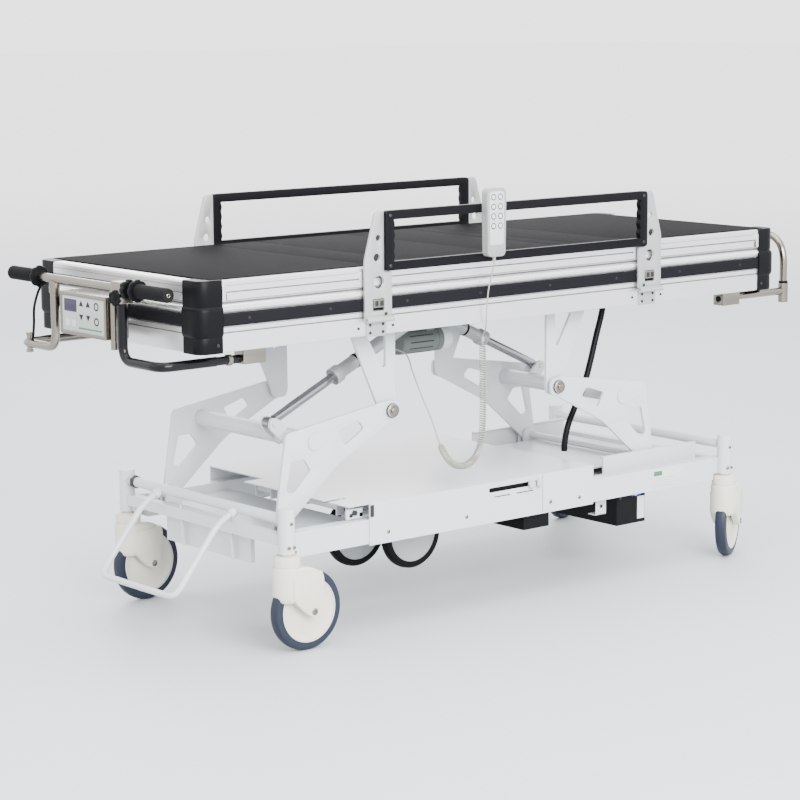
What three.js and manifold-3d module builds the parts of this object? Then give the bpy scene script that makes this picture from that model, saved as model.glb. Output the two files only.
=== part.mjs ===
// Electric height-adjustable stretcher trolley, as an assembly of separate solids.
// Units are millimetres. +X runs to the foot end, +Y to the far side, +Z up, the floor is z = 0.
// The origin is on the floor under the middle of the deck.
import * as THREE from 'three';
import { mergeVertices } from 'three/addons/utils/BufferGeometryUtils.js';
import Module from 'manifold-3d';

const wasm = await Module();
wasm.setup();

// ---------- driving dimensions ----------
const GAP = 0.3; // between touching pieces

const DECK_LENGTH = 1960;
const DECK_WIDTH = 689;
const DECK_TOP = 917;
const DECK_BOTTOM = 748;
const CORNER_POST = 64; // square footprint of a corner buffer
const PROFILE_DEPTH = 32; // how far a side profile reaches inwards
const BUMPER_LOW = 810;
const BUMPER_HIGH = 839;

const HEAD_POST_X = -736;
const FOOT_POST_X = 796;
const POST_Y = 340.5;
const POST_RADIUS = 20;
const POST_LOW = 245;
const POST_HIGH = 353;

const WHEEL_RADIUS = 100;
const WHEEL_WIDTH = 32;
const CASTER_TRAIL = 55;
const CASTER_ANGLES = { head_near: 0, head_far: 4, foot_near: 30, foot_far: 20 };

const ARM_Y = 240; // middle plane of the lift arms
const ARM_THICKNESS = 8;
const LINK_DX = 343;
const LINK_DZ = 232;
const HEAD_PIVOT = { x: -670, z: 303 };
const FOOT_PIVOT = { x: 591, z: 303 };
const CROSS_TUBE = { dx: 98, dz: 181, radius: 22 };
const LEVER_PIN = { dx: 53, dz: 218 };
const PIN_RADIUS = 10;
const PIN_CLEARANCE = 0.4;

const ACTUATOR_LENGTH = 560; // from lever pin to deck anchor
const ACTUATOR_MOUTH = 221; // from lever pin to the mouth of the outer tube
const HEAD_ACTUATOR_Y = -120;
const FOOT_ACTUATOR_Y = 150;
const ACTUATOR_SLOPE = THREE.MathUtils.degToRad(25);

const COVER_X = [-476, 291];
const COVER_TOP = 330;
const COVER_LOW = 225;
const COVER_HALF_WIDTH = 337;
const COVER_LIP = { reach: 61, y: [-330, 100] }; // the top runs on past the sides at the head end
const LIP_SLOT = 20; // width of the slot in that lip which the raised near arm swings into

const RAIL_MID_X = 9.5;
const RAIL_HALF_OUTER = 509.5;
const RAIL_HALF_FRAME = 449.5;
const RAIL_HALF_INNER = 425.5;
const RAIL_TOP = 1050;
const RAIL_FRAME_LOW = 904;
const RAIL_PLATE_Y = [350, 356];
const RAIL_FRAME_Y = 353;
const RAIL_HINGE = { y: 363, z: 785 };

// ---------- materials ----------
const finish = (color, roughness, metalness) =>
  new THREE.MeshStandardMaterial({ color, roughness, metalness });
const whitePaint = () => finish(0xeff0f0, 0.45, 0.1);
const aluminium = () => finish(0xd8d9db, 0.3, 0.9);
const railAluminium = () => finish(0xdcdedf, 0.4, 0.6);
const stainless = () => finish(0xb9b2a8, 0.25, 1);
const blackPlastic = () => finish(0x17171a, 0.55, 0);
const blackPaint = () => finish(0x1c1c20, 0.45, 0.2);
const blackRubber = () => finish(0x141416, 0.8, 0);
const creamPlastic = () => finish(0xe9e5d8, 0.4, 0);
const tyreGrey = () => finish(0x4a5876, 0.6, 0);
const matGrey = () => finish(0x3b3c40, 0.7, 0);
const housingGrey = () => finish(0xa9b2ac, 0.5, 0);
const handsetGrey = () => finish(0xcdcfca, 0.5, 0);
const leadGrey = () => finish(0xb5b2a8, 0.6, 0);

// ---------- geometry helpers ----------
// A closed three.js geometry as a solid.
function solid(geometry) {
  const bare = geometry.index ? geometry.toNonIndexed() : geometry.clone();
  bare.deleteAttribute('normal');
  bare.deleteAttribute('uv');
  const merged = mergeVertices(bare, 1e-4);
  return new wasm.Manifold(new wasm.Mesh({
    numProp: 3,
    vertProperties: new Float32Array(merged.attributes.position.array),
    triVerts: new Uint32Array(merged.index.array),
  }));
}

// A solid back as a three.js geometry.
function geometryOf(body) {
  const data = body.getMesh();
  const geometry = new THREE.BufferGeometry();
  geometry.setAttribute('position', new THREE.BufferAttribute(new Float32Array(data.vertProperties), 3));
  geometry.setIndex(new THREE.BufferAttribute(new Uint32Array(data.triVerts), 1));
  geometry.computeVertexNormals();
  return geometry;
}

const join = (...pieces) => pieces.flat().reduce((whole, piece) => whole.add(piece));
const cut = (body, ...tools) => tools.flat().reduce((rest, tool) => rest.subtract(tool), body);

// A block between two corners.
function block([x0, x1], [y0, y1], [z0, z1]) {
  const geometry = new THREE.BoxGeometry(x1 - x0, y1 - y0, z1 - z0);
  geometry.translate((x0 + x1) / 2, (y0 + y1) / 2, (z0 + z1) / 2);
  return solid(geometry);
}

// A round bar from one point to another.
function bar(from, to, radius, sides = 10, radiusEnd = radius) {
  const start = new THREE.Vector3(...from);
  const end = new THREE.Vector3(...to);
  const axis = end.clone().sub(start);
  const geometry = new THREE.CylinderGeometry(radiusEnd, radius, axis.length(), sides);
  const turn = new THREE.Quaternion().setFromUnitVectors(new THREE.Vector3(0, 1, 0), axis.clone().normalize());
  geometry.applyQuaternion(turn);
  geometry.translate(...start.add(end).multiplyScalar(0.5).toArray());
  return solid(geometry);
}

// A body of revolution about the line through `at` along Y, from [radius, y] pairs.
function turnedAboutY(profile, at, sides = 24) {
  const geometry = new THREE.LatheGeometry(profile.map(([r, y]) => new THREE.Vector2(r, y)), sides);
  geometry.translate(...at);
  return solid(geometry);
}

// An outline with its corners rounded: each point is [a, b] or [a, b, radius].
function roundedPath(points) {
  const target = new THREE.Shape();
  const count = points.length;
  points.forEach(([a, b, radius = 0], i) => {
    const corner = new THREE.Vector2(a, b);
    const before = new THREE.Vector2(...points[(i + count - 1) % count]);
    const after = new THREE.Vector2(...points[(i + 1) % count]);
    const reach = Math.min(radius, 0.48 * corner.distanceTo(before), 0.48 * corner.distanceTo(after));
    const enter = corner.clone().add(before.sub(corner).setLength(reach));
    const leave = corner.clone().add(after.sub(corner).setLength(reach));
    if (i === 0) target.moveTo(enter.x, enter.y);
    else target.lineTo(enter.x, enter.y);
    if (radius > 0) target.quadraticCurveTo(a, b, leave.x, leave.y);
  });
  target.closePath();
  return target;
}

// The corner radius of a bore with flat facets that stay r from its axis.
const boreRadius = (r, sides) => r / Math.cos(Math.PI / sides);

// A plate in the XZ plane between two heights of Y, with optional holes (outlines or round).
function plateXZ(points, [y0, y1], holes = [], roundHoles = [], curveSegments = 2) {
  const options = { depth: y1 - y0, bevelEnabled: false, curveSegments };
  const geometry = new THREE.ExtrudeGeometry(roundedPath(points), options);
  geometry.rotateX(Math.PI / 2);
  geometry.translate(0, y1, 0);
  const windows = holes.map((hole) => plateXZ(hole, [y0 - 1, y1 + 1]));
  const drills = roundHoles.map(({ x, z, r }) => bar([x, y0 - 1, z], [x, y1 + 1, z], boreRadius(r, 10), 10));
  return cut(solid(geometry), windows, drills);
}

// A profile in the YZ plane carried along X.
function profileAlongX(points, [x0, x1], curveSegments = 2) {
  const geometry = new THREE.ExtrudeGeometry(roundedPath(points), { depth: x1 - x0, bevelEnabled: false, curveSegments });
  geometry.applyMatrix4(new THREE.Matrix4().makeBasis(
    new THREE.Vector3(0, 1, 0), new THREE.Vector3(0, 0, 1), new THREE.Vector3(1, 0, 0)));
  geometry.translate(x0, 0, 0);
  return solid(geometry);
}

// A tube along straight runs with rounded bends: each point is [x, y, z] or [x, y, z, bend radius].
function bentTube(points, radius, sides = 8, stepLength = 34) {
  const path = new THREE.CurvePath();
  const at = points.map(([x, y, z]) => new THREE.Vector3(x, y, z));
  let from = at[0];
  for (let i = 1; i < at.length - 1; i += 1) {
    const bend = points[i][3] ?? 0;
    const enter = at[i].clone().add(at[i - 1].clone().sub(at[i]).setLength(bend));
    const leave = at[i].clone().add(at[i + 1].clone().sub(at[i]).setLength(bend));
    path.add(new THREE.LineCurve3(from, enter));
    if (bend > 0) path.add(new THREE.QuadraticBezierCurve3(enter, at[i], leave));
    from = leave;
  }
  path.add(new THREE.LineCurve3(from, at[at.length - 1]));
  return tubeAlong(path, radius, sides, Math.ceil(path.getLength() / stepLength));
}

// A tube along any curve.
function tubeAlong(path, radius, sides, steps) {
  const section = new THREE.Shape();
  for (let i = 0; i < sides; i += 1) {
    const angle = (i / sides) * 2 * Math.PI;
    const point = [radius * Math.cos(angle), radius * Math.sin(angle)];
    if (i === 0) section.moveTo(...point);
    else section.lineTo(...point);
  }
  section.closePath();
  return solid(new THREE.ExtrudeGeometry(section, { steps, extrudePath: path }));
}

const curveThrough = (points) => new THREE.CatmullRomCurve3(points.map((p) => new THREE.Vector3(...p)), false, 'centripetal');
const mirrorY = (body) => body.mirror([0, 1, 0]);
const mirrorX = (body) => body.mirror([1, 0, 0]);

const trolley = new THREE.Group();
const base = new THREE.Group();
const deck = new THREE.Group();
trolley.add(base, deck);

function add(group, name, material, body) {
  const mesh = new THREE.Mesh(geometryOf(body), material);
  mesh.name = name;
  group.add(mesh);
  return mesh;
}

// ---------- chassis ----------
const MEMBER_Y = [300, 333.8];
const MEMBER_Z = [229, 290];
const PAN_Z = [262, 266];
const CHANNEL_X = [396, 757];
const CHANNEL_Z = [266, 328];

function sideMember() {
  const ring = 36; // keeps clear of the caster's swivel ring
  return join(
    block([HEAD_POST_X + ring, FOOT_POST_X - ring], MEMBER_Y, MEMBER_Z),
    block([HEAD_POST_X, FOOT_POST_X], [MEMBER_Y[0] + 6, MEMBER_Y[1]], [POST_LOW + 1, MEMBER_Z[1]]),
  );
}

function chassisPosts() {
  const posts = [];
  for (const x of [HEAD_POST_X, FOOT_POST_X]) {
    for (const y of [-POST_Y, POST_Y]) {
      posts.push(bar([x, y, POST_LOW], [x, y, POST_HIGH], POST_RADIUS, 16));
    }
  }
  return posts;
}

// Two ears and a pin that carry the foot of a head-end lift arm.
function armPedestal(side) {
  const ear = [
    [HEAD_PIVOT.x - 26, PAN_Z[1] - 1],
    [HEAD_PIVOT.x + 26, PAN_Z[1] - 1],
    [HEAD_PIVOT.x + 18, HEAD_PIVOT.z + 19, 14],
    [HEAD_PIVOT.x - 18, HEAD_PIVOT.z + 19, 14],
  ];
  const y = side * ARM_Y;
  return join(
    plateXZ(ear, [y - 13, y - 7]),
    plateXZ(ear, [y + 7, y + 13]),
    bar([HEAD_PIVOT.x, y - 18, HEAD_PIVOT.z], [HEAD_PIVOT.x, y + 18, HEAD_PIVOT.z], PIN_RADIUS),
  );
}

// The open channel that the foot-end sliders run in.
function sliderChannel(side) {
  const outer = [side * (ARM_Y + 24), side * (ARM_Y + 28)].sort((a, b) => a - b);
  const floor = [side * (ARM_Y - 24), side * (ARM_Y + 28)].sort((a, b) => a - b);
  const lip = [side * (ARM_Y + 15), side * (ARM_Y + 28)].sort((a, b) => a - b);
  return join(
    block(CHANNEL_X, outer, CHANNEL_Z),
    block(CHANNEL_X, floor, [CHANNEL_Z[0], CHANNEL_Z[0] + 4]),
    block(CHANNEL_X, lip, [CHANNEL_Z[1] - 3, CHANNEL_Z[1]]),
  );
}

const FIFTH_PIVOT = { x: 60, z: 205 };

// A cross member with two ears and the pin that the fifth-wheel arm turns on.
function fifthWheelHanger() {
  const { x, z } = FIFTH_PIVOT;
  return join(
    block([x - 6, x + 30], [-305, 305], [232, 262]),
    block([x - 14, x + 14], [-36, -26], [z - 14, 240]),
    block([x - 14, x + 14], [26, 36], [z - 14, 240]),
    bar([x, -36, z], [x, 36, z], 8),
  );
}

function chassis() {
  const beams = [
    sideMember(),
    mirrorY(sideMember()),
    block([HEAD_POST_X - 12, HEAD_POST_X + 12], [-322, 322], [262, 290]),
    block([HEAD_POST_X + 12, -712], [-180, 180], [192, 290]),
    block([HEAD_POST_X + 12, COVER_X[0] + 40], [-302, 302], PAN_Z),
    block([FOOT_POST_X - 12, FOOT_POST_X + 12], [-322, 322], [248, 285]),
    bar([FOOT_POST_X, -322, 325], [FOOT_POST_X, 322, 325], 12),
    block([COVER_X[1] + 4, FOOT_POST_X - 11], [-302, 302], PAN_Z),
    block([COVER_X[1] + 4, CHANNEL_X[0] + 320], [-212, 212], [286, 290]),
    block([COVER_X[1] + 4, COVER_X[1] + 24], [-212, 212], [264, 287]),
    block([CHANNEL_X[0] + 300, CHANNEL_X[0] + 320], [-212, 212], [264, 287]),
  ];
  return join(
    beams,
    chassisPosts(),
    armPedestal(-1), armPedestal(1),
    sliderChannel(-1), sliderChannel(1),
    fifthWheelHanger(),
  );
}

// Folded sheet cover over the middle of the chassis, with a hand slot in each side.
function chassisCover() {
  const skin = 2.8;
  const [x0, x1] = COVER_X;
  const wall = (side) => {
    const y = [side * COVER_HALF_WIDTH, side * (COVER_HALF_WIDTH - skin)].sort((a, b) => a - b);
    const slot = [[-81, 304, 4.5], [92, 304, 4.5], [92, 316, 4.5], [-81, 316, 4.5]];
    const sheet = [[x0, COVER_LOW], [x1, COVER_LOW], [x1, COVER_TOP], [x0, COVER_TOP]];
    return plateXZ(sheet, y, [slot]);
  };
  const lip = (y) => block([x0 - COVER_LIP.reach, x0 + 1], y, [COVER_TOP - skin, COVER_TOP]);
  return join(
    block([x0, x1], [-COVER_HALF_WIDTH, COVER_HALF_WIDTH], [COVER_TOP - skin, COVER_TOP]),
    lip([COVER_LIP.y[0], -ARM_Y - LIP_SLOT / 2]),
    lip([-ARM_Y + LIP_SLOT / 2, COVER_LIP.y[1]]),
    wall(-1),
    wall(1),
    block([x1 - skin, x1], [-COVER_HALF_WIDTH, COVER_HALF_WIDTH], [MEMBER_Z[1] + GAP, COVER_TOP]),
  );
}

add(base, 'base_frame', whitePaint(), chassis());
add(base, 'base_cover', whitePaint(), chassisCover());
add(base, 'battery_box', blackPlastic(), block([75, 165], [-299, -180], [178, MEMBER_Z[0] - GAP]));
add(base, 'electronics_box', blackPlastic(), block([418, 526], [-299, -60], [140, MEMBER_Z[0] - GAP]));

// ---------- fifth wheels ----------
const FIFTH_WHEELS = [
  { name: 'fifth_wheel_near', x: -110, side: -1 },
  { name: 'fifth_wheel_far', x: -206, side: 1 },
];
const FIFTH_AXLE_Z = 160;
const FIFTH_RADIUS = 95;
const FIFTH_INNER_Y = 42;
const FIFTH_WIDTH = 30;

function fifthWheelArm() {
  const { x, z } = FIFTH_PIVOT;
  const beam = block([-232, x + 12], [-20, 20], [z - 16, z + 14]);
  const axles = FIFTH_WHEELS.map((wheel) => join(
    block([wheel.x - 14, wheel.x + 14], [-20, 20], [FIFTH_AXLE_Z - 14, z]),
    bar([wheel.x, 0, FIFTH_AXLE_Z], [wheel.x, wheel.side * (FIFTH_INNER_Y + FIFTH_WIDTH + 6), FIFTH_AXLE_Z], 7),
  ));
  const bore = bar([x, -40, z], [x, 40, z], boreRadius(8 + PIN_CLEARANCE, 10), 10);
  return cut(join(beam, axles), bore);
}

function fifthWheel({ x, side }) {
  const half = FIFTH_WIDTH / 2;
  const profile = [
    [7 + PIN_CLEARANCE, -half], [FIFTH_RADIUS - 8, -half], [FIFTH_RADIUS, -half + 8],
    [FIFTH_RADIUS, half - 8], [FIFTH_RADIUS - 8, half], [7 + PIN_CLEARANCE, half],
    [7 + PIN_CLEARANCE, -half],
  ];
  return turnedAboutY(profile, [x, side * (FIFTH_INNER_Y + half), FIFTH_AXLE_Z], 20);
}

add(base, 'fifth_wheel_arm', whitePaint(), fifthWheelArm());
FIFTH_WHEELS.forEach((wheel) => add(base, wheel.name, blackRubber(), fifthWheel(wheel)));

// ---------- central brake bar with its pedal ----------
const BRAKE_Z = 326;
const PEDAL_X = -928;
const PEDAL_Z = 131;

function brakeBar() {
  const top = [HEAD_POST_X, BRAKE_Z];
  return join(
    bar([top[0], -318, top[1]], [top[0], 318, top[1]], 13),
    bentTube([
      [top[0], 178, top[1]], [top[0] - 60, 178, top[1] - 30, 30], [PEDAL_X, 178, PEDAL_Z, 34],
      [PEDAL_X, -146, PEDAL_Z, 34], [top[0] - 60, -146, top[1] - 30, 30], [top[0], -146, top[1]],
    ], 8, 8, 30),
  );
}
add(base, 'brake_bar', whitePaint(), brakeBar());

// ---------- casters ----------
// Modelled with the stem on the origin and the wheel trailing towards +X, then turned and placed.
function casterFork() {
  const stem = join(
    bar([0, 0, 130], [0, 0, 213], 36, 16),
    bar([0, 0, 213], [0, 0, 239], 33, 12),
    bar([0, 0, 238], [0, 0, POST_LOW - GAP], 14, 8),
  );
  const hood = block([0, 78], [-36, 36], [165, 213]);
  const skirt = [
    [-6, 190], [-6, 134], [20, 112, 8], [CASTER_TRAIL + 6, 86, 8], [CASTER_TRAIL + 14, 108, 8], [84, 165], [78, 200],
  ];
  const clearance = bar([CASTER_TRAIL, -18.5, WHEEL_RADIUS], [CASTER_TRAIL, 18.5, WHEEL_RADIUS], WHEEL_RADIUS + 4, 20);
  const cheeks = join(plateXZ(skirt, [-36, -20]), plateXZ(skirt, [20, 36]));
  const axle = bar([CASTER_TRAIL, -30, WHEEL_RADIUS], [CASTER_TRAIL, 30, WHEEL_RADIUS], 6, 8);
  return join(cut(join(stem, hood, cheeks), clearance), axle);
}

function casterWheel() {
  const half = WHEEL_WIDTH / 2;
  const bore = 6 + PIN_CLEARANCE;
  const profile = [
    [bore, -half], [90, -half], [WHEEL_RADIUS, -half + 9],
    [WHEEL_RADIUS, half - 9], [90, half], [bore, half], [bore, -half],
  ];
  return turnedAboutY(profile, [CASTER_TRAIL, 0, WHEEL_RADIUS], 24);
}

for (const [corner, angle] of Object.entries(CASTER_ANGLES)) {
  const [end, side] = corner.split('_');
  const holder = new THREE.Group();
  holder.position.set(end === 'head' ? HEAD_POST_X : FOOT_POST_X, side === 'near' ? -POST_Y : POST_Y, 0);
  holder.rotation.z = THREE.MathUtils.degToRad(angle);
  base.add(holder);
  add(holder, `caster_fork_${corner}`, creamPlastic(), casterFork());
  add(holder, `caster_wheel_${corner}`, tyreGrey(), casterWheel());
}

// ---------- lift arms ----------
// A bell-crank plate, given from its lower pivot at the origin and leaning towards +X.
const ARM_OUTLINE = [
  [-22, 2, 14], [6, 178, 6], [10, 210, 30], [330, 258, 8], [369, 254, 20],
  [369, 212, 22], [338, 203, 10], [172, 118, 24], [24, -8, 10], [2, -24, 16], [-24, -16, 14],
];
const ARM_HOLES = [
  [[170, 199, 8], [236, 219, 10], [255, 196, 10], [192, 160, 8]],
  [[26, 142, 8], [64, 142, 8], [86, 112, 8], [30, 60, 8], [8, 68, 8]],
];

function armPlate() {
  return plateXZ(ARM_OUTLINE, [-ARM_THICKNESS / 2, ARM_THICKNESS / 2], ARM_HOLES, [
    { x: 0, z: 0, r: PIN_RADIUS + PIN_CLEARANCE },
    { x: LINK_DX, z: LINK_DZ, r: PIN_RADIUS + PIN_CLEARANCE },
  ]);
}

// The cross tube between a pair of arms, with the lever that its actuator pulls on.
function crossTube(leverY) {
  const inner = ARM_Y - ARM_THICKNESS / 2 - GAP;
  const { dx, dz, radius } = CROSS_TUBE;
  const lever = [
    [dx - 4, dz - 26, 6], [dx + 16, dz - 2, 10], [LEVER_PIN.dx + 16, LEVER_PIN.dz + 10, 10],
    [LEVER_PIN.dx - 10, LEVER_PIN.dz + 16, 10], [LEVER_PIN.dx - 16, LEVER_PIN.dz - 10, 10],
  ];
  return join(
    bar([dx, -inner, dz], [dx, inner, dz], radius, 12),
    plateXZ(lever, [leverY - 20, leverY - 13]),
    plateXZ(lever, [leverY + 13, leverY + 20]),
    bar([LEVER_PIN.dx, leverY - 24, LEVER_PIN.dz], [LEVER_PIN.dx, leverY + 24, LEVER_PIN.dz], 7, 10),
  );
}

function addArmPair(end, pivot, flip, leverY) {
  const place = (body) => (flip ? mirrorX(body) : body).translate([pivot.x, 0, pivot.z]);
  add(base, `${end}_arm_near`, whitePaint(), place(armPlate()).translate([0, -ARM_Y, 0]));
  add(base, `${end}_arm_far`, whitePaint(), place(armPlate()).translate([0, ARM_Y, 0]));
  add(base, `${end}_cross_tube`, whitePaint(), place(crossTube(leverY)));
}
addArmPair('head', HEAD_PIVOT, false, HEAD_ACTUATOR_Y);
addArmPair('foot', FOOT_PIVOT, true, FOOT_ACTUATOR_Y);

// The shaft and its two shoes that slide in the channels.
function sliderCarriage() {
  const shoe = (side) => {
    const y = side * ARM_Y;
    const cheek = [[FOOT_PIVOT.x - 30, 272], [FOOT_PIVOT.x + 30, 272], [FOOT_PIVOT.x + 26, 322, 12], [FOOT_PIVOT.x - 26, 322, 12]];
    return join(
      plateXZ(cheek, [y - 14, y - 7]),
      plateXZ(cheek, [y + 7, y + 14]),
      block([FOOT_PIVOT.x - 30, FOOT_PIVOT.x + 30], [y - 14, y + 14], [271, 275]),
    );
  };
  return join(
    bar([FOOT_PIVOT.x, -ARM_Y - 14, FOOT_PIVOT.z], [FOOT_PIVOT.x, ARM_Y + 14, FOOT_PIVOT.z], PIN_RADIUS),
    shoe(-1), shoe(1),
  );
}
add(base, 'slider_carriage', railAluminium(), sliderCarriage());

// ---------- actuators ----------
// Built along +X from the lever pin at the origin, then tilted up and placed.
function actuatorRod() {
  const reach = ACTUATOR_MOUTH + 70;
  const eye = cut(bar([0, -12, 0], [0, 12, 0], 15, 14), bar([0, -13, 0], [0, 13, 0], 7 + PIN_CLEARANCE, 12));
  return join(eye, bar([13, 0, 0], [reach, 0, 0], 10, 12));
}

function actuatorTube() {
  const bore = bar([ACTUATOR_MOUTH - 1, 0, 0], [ACTUATOR_MOUTH + 160, 0, 0], 10 + PIN_CLEARANCE, 12);
  const body = join(
    bar([ACTUATOR_MOUTH, 0, 0], [ACTUATOR_MOUTH + 24, 0, 0], 23, 16),
    bar([ACTUATOR_MOUTH + 20, 0, 0], [ACTUATOR_LENGTH - 30, 0, 0], 18, 16),
    bar([ACTUATOR_LENGTH - 40, 0, 0], [ACTUATOR_LENGTH, 0, 0], 8, 16),
  );
  return cut(body, bore);
}

function addActuator(end, pivot, flip, y) {
  const lift = (body) => {
    const tilted = body.rotate([0, -THREE.MathUtils.radToDeg(ACTUATOR_SLOPE), 0]);
    const shifted = tilted.translate([LEVER_PIN.dx, 0, LEVER_PIN.dz]);
    return (flip ? mirrorX(shifted) : shifted).translate([pivot.x, y, pivot.z]);
  };
  add(base, `${end}_actuator_rod`, aluminium(), lift(actuatorRod()));
  add(base, `${end}_actuator_tube`, railAluminium(), lift(actuatorTube()));
}
addActuator('head', HEAD_PIVOT, false, HEAD_ACTUATOR_Y);
addActuator('foot', FOOT_PIVOT, true, FOOT_ACTUATOR_Y);

// ---------- deck structure ----------
const DECK_HALF_X = DECK_LENGTH / 2;
const DECK_HALF_Y = DECK_WIDTH / 2;
const DECK_INNER_Y = DECK_HALF_Y - PROFILE_DEPTH;
const SHEET_Z = [884, 892];

// A hanging plate with a triangular window, its pin at the origin.
function liftBracket() {
  const top = DECK_BOTTOM + 40 - (HEAD_PIVOT.z + LINK_DZ);
  const outline = [
    [26, top], [-118, top], [-112, top - 62, 4], [-29, 8, 10], [-22, -22, 16], [22, -22, 20], [27, 0, 4],
  ];
  const window = [[-64, top - 62, 5], [-4, top - 58, 5], [-5, 110, 7], [-16, 108, 6]];
  return join(
    plateXZ(outline, [0, 8], [window]),
    bar([0, 2, 0], [0, -24, 0], PIN_RADIUS),
    bar([0, -18.5, 0], [0, -26, 0], 17, 20),
  );
}

function bracketPair(pivot, flip) {
  const near = (flip ? mirrorX(liftBracket()) : liftBracket()).translate([
    pivot.x + (flip ? -LINK_DX : LINK_DX), -ARM_Y + 12, pivot.z + LINK_DZ]);
  return [near, mirrorY(near)];
}

// Welded bed frame: two long beams with the lift brackets, ribs across them, and the bed sheet on top.
const BEAM = { halfLength: 900, y: [216, 240], z: [752, 790] }; // box beams under the deck sheet

function deckSubframe() {
  const halfWidth = DECK_INNER_Y - GAP;
  const ribXs = [-820, -440, -60, 320, 700];
  const ribs = ribXs.map((x) => block([x - 15, x + 15], [-halfWidth, halfWidth], [BEAM.z[1] - 1, SHEET_Z[0] + 1]));
  const beam = (side) => {
    const y = BEAM.y.map((edge) => side * edge).sort((a, b) => a - b);
    return block([-BEAM.halfLength, BEAM.halfLength], y, BEAM.z);
  };
  return join(
    block([-DECK_HALF_X + 34, DECK_HALF_X - 34], [-halfWidth, halfWidth], SHEET_Z),
    ribs,
    [beam(-1), beam(1)],
    bracketPair(HEAD_PIVOT, false),
    bracketPair(FOOT_PIVOT, true),
  );
}

// Side extrusion: an open channel section with a rounded lip, two grooves and a bumper seat.
function sideSection() {
  const y = -DECK_HALF_Y;
  const skin = 5;
  return [
    [y + PROFILE_DEPTH, DECK_TOP, 3], [y, DECK_TOP, 5], [y, 890], [y + 2, 888], [y, 886], [y, 868], [y + 3, 866],
    [y + 3, 862], [y, 860], [y, 842], [y + 3, BUMPER_HIGH + GAP], [y + 3, BUMPER_LOW - GAP], [y, 808], [y, 796],
    [y + 2, 794], [y, 792], [y, DECK_BOTTOM, 3], [y + PROFILE_DEPTH, DECK_BOTTOM], [y + PROFILE_DEPTH, DECK_BOTTOM + 3],
    [y + skin + 3, DECK_BOTTOM + 3], [y + skin + 3, DECK_TOP - skin], [y + PROFILE_DEPTH, DECK_TOP - skin],
  ];
}

function sideProfile() {
  const reach = DECK_HALF_X - CORNER_POST - GAP;
  return profileAlongX(sideSection(), [-reach, reach]);
}

// The same section, turned to run across the deck's end.
function endProfile() {
  const reach = DECK_HALF_Y - CORNER_POST - GAP;
  const moved = sideSection().map(([y, z, r]) => [y + DECK_HALF_Y, z, r]);
  const atHead = profileAlongX(moved, [-reach, reach]).rotate([0, 0, -90]);
  return atHead.translate([-DECK_HALF_X, 0, 0]);
}

const CORNER_RADIUS = 46;
function cornerPost() {
  const outer = (swell) => [
    [-DECK_HALF_X - swell, -DECK_HALF_Y - swell, CORNER_RADIUS], [-DECK_HALF_X + CORNER_POST, -DECK_HALF_Y - swell],
    [-DECK_HALF_X + CORNER_POST, -DECK_HALF_Y + CORNER_POST], [-DECK_HALF_X - swell, -DECK_HALF_Y + CORNER_POST],
  ];
  const tier = (swell, z0, z1) => {
    const geometry = new THREE.ExtrudeGeometry(roundedPath(outer(swell)), { depth: z1 - z0, bevelEnabled: false, curveSegments: 5 });
    geometry.translate(0, 0, z0);
    return solid(geometry);
  };
  const inside = block(
    [-DECK_HALF_X + PROFILE_DEPTH, -DECK_HALF_X + CORNER_POST + 1],
    [-DECK_INNER_Y, -DECK_HALF_Y + CORNER_POST + 1],
    [DECK_BOTTOM - 3, DECK_TOP + 3],
  );
  return cut(join(tier(2, DECK_BOTTOM - 1, DECK_TOP + 1), tier(6, 787, 857)), inside);
}

// Rubber strip lying in a side's bumper seat.
function sideBumper() {
  const y = -DECK_HALF_Y;
  const reach = DECK_HALF_X - CORNER_POST - 2;
  const section = [[y + 2.7, BUMPER_LOW], [y + 2.7, BUMPER_HIGH], [y - 4, BUMPER_HIGH, 4], [y - 4, BUMPER_LOW, 4]];
  return profileAlongX(section, [-reach, reach]);
}

function endBumper() {
  const reach = DECK_HALF_Y - CORNER_POST - 2;
  const section = [[2.7, BUMPER_LOW], [2.7, BUMPER_HIGH], [-4, BUMPER_HIGH, 4], [-4, BUMPER_LOW, 4]];
  return profileAlongX(section, [-reach, reach]).rotate([0, 0, -90]).translate([-DECK_HALF_X, 0, 0]);
}

add(deck, 'deck_subframe', whitePaint(), deckSubframe());
add(deck, 'deck_mat', matGrey(), block(
  [-DECK_HALF_X + 36, DECK_HALF_X - 36], [-DECK_INNER_Y + 1, DECK_INNER_Y - 1], [SHEET_Z[1] + GAP, 908]));
add(deck, 'side_profile_near', aluminium(), sideProfile());
add(deck, 'side_profile_far', aluminium(), mirrorY(sideProfile()));
add(deck, 'end_profile_head', aluminium(), endProfile());
add(deck, 'end_profile_foot', aluminium(), mirrorX(endProfile()));
add(deck, 'corner_post_head_near', blackPlastic(), cornerPost());
add(deck, 'corner_post_head_far', blackPlastic(), mirrorY(cornerPost()));
add(deck, 'corner_post_foot_near', blackPlastic(), mirrorX(cornerPost()));
add(deck, 'corner_post_foot_far', blackPlastic(), mirrorX(mirrorY(cornerPost())));
add(deck, 'bumper_near', blackRubber(), sideBumper());
add(deck, 'bumper_far', blackRubber(), mirrorY(sideBumper()));
add(deck, 'bumper_head', blackRubber(), endBumper());
add(deck, 'bumper_foot', blackRubber(), mirrorX(endBumper()));

// Gear motor hung under a deck rib.
function liftMotor() {
  return join(
    bar([-160, -62, 672], [20, -62, 672], 33, 20),
    block([-74, -46], [-84, -40], [672, 752 - GAP]),
  );
}
add(deck, 'lift_motor', housingGrey(), liftMotor());

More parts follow.
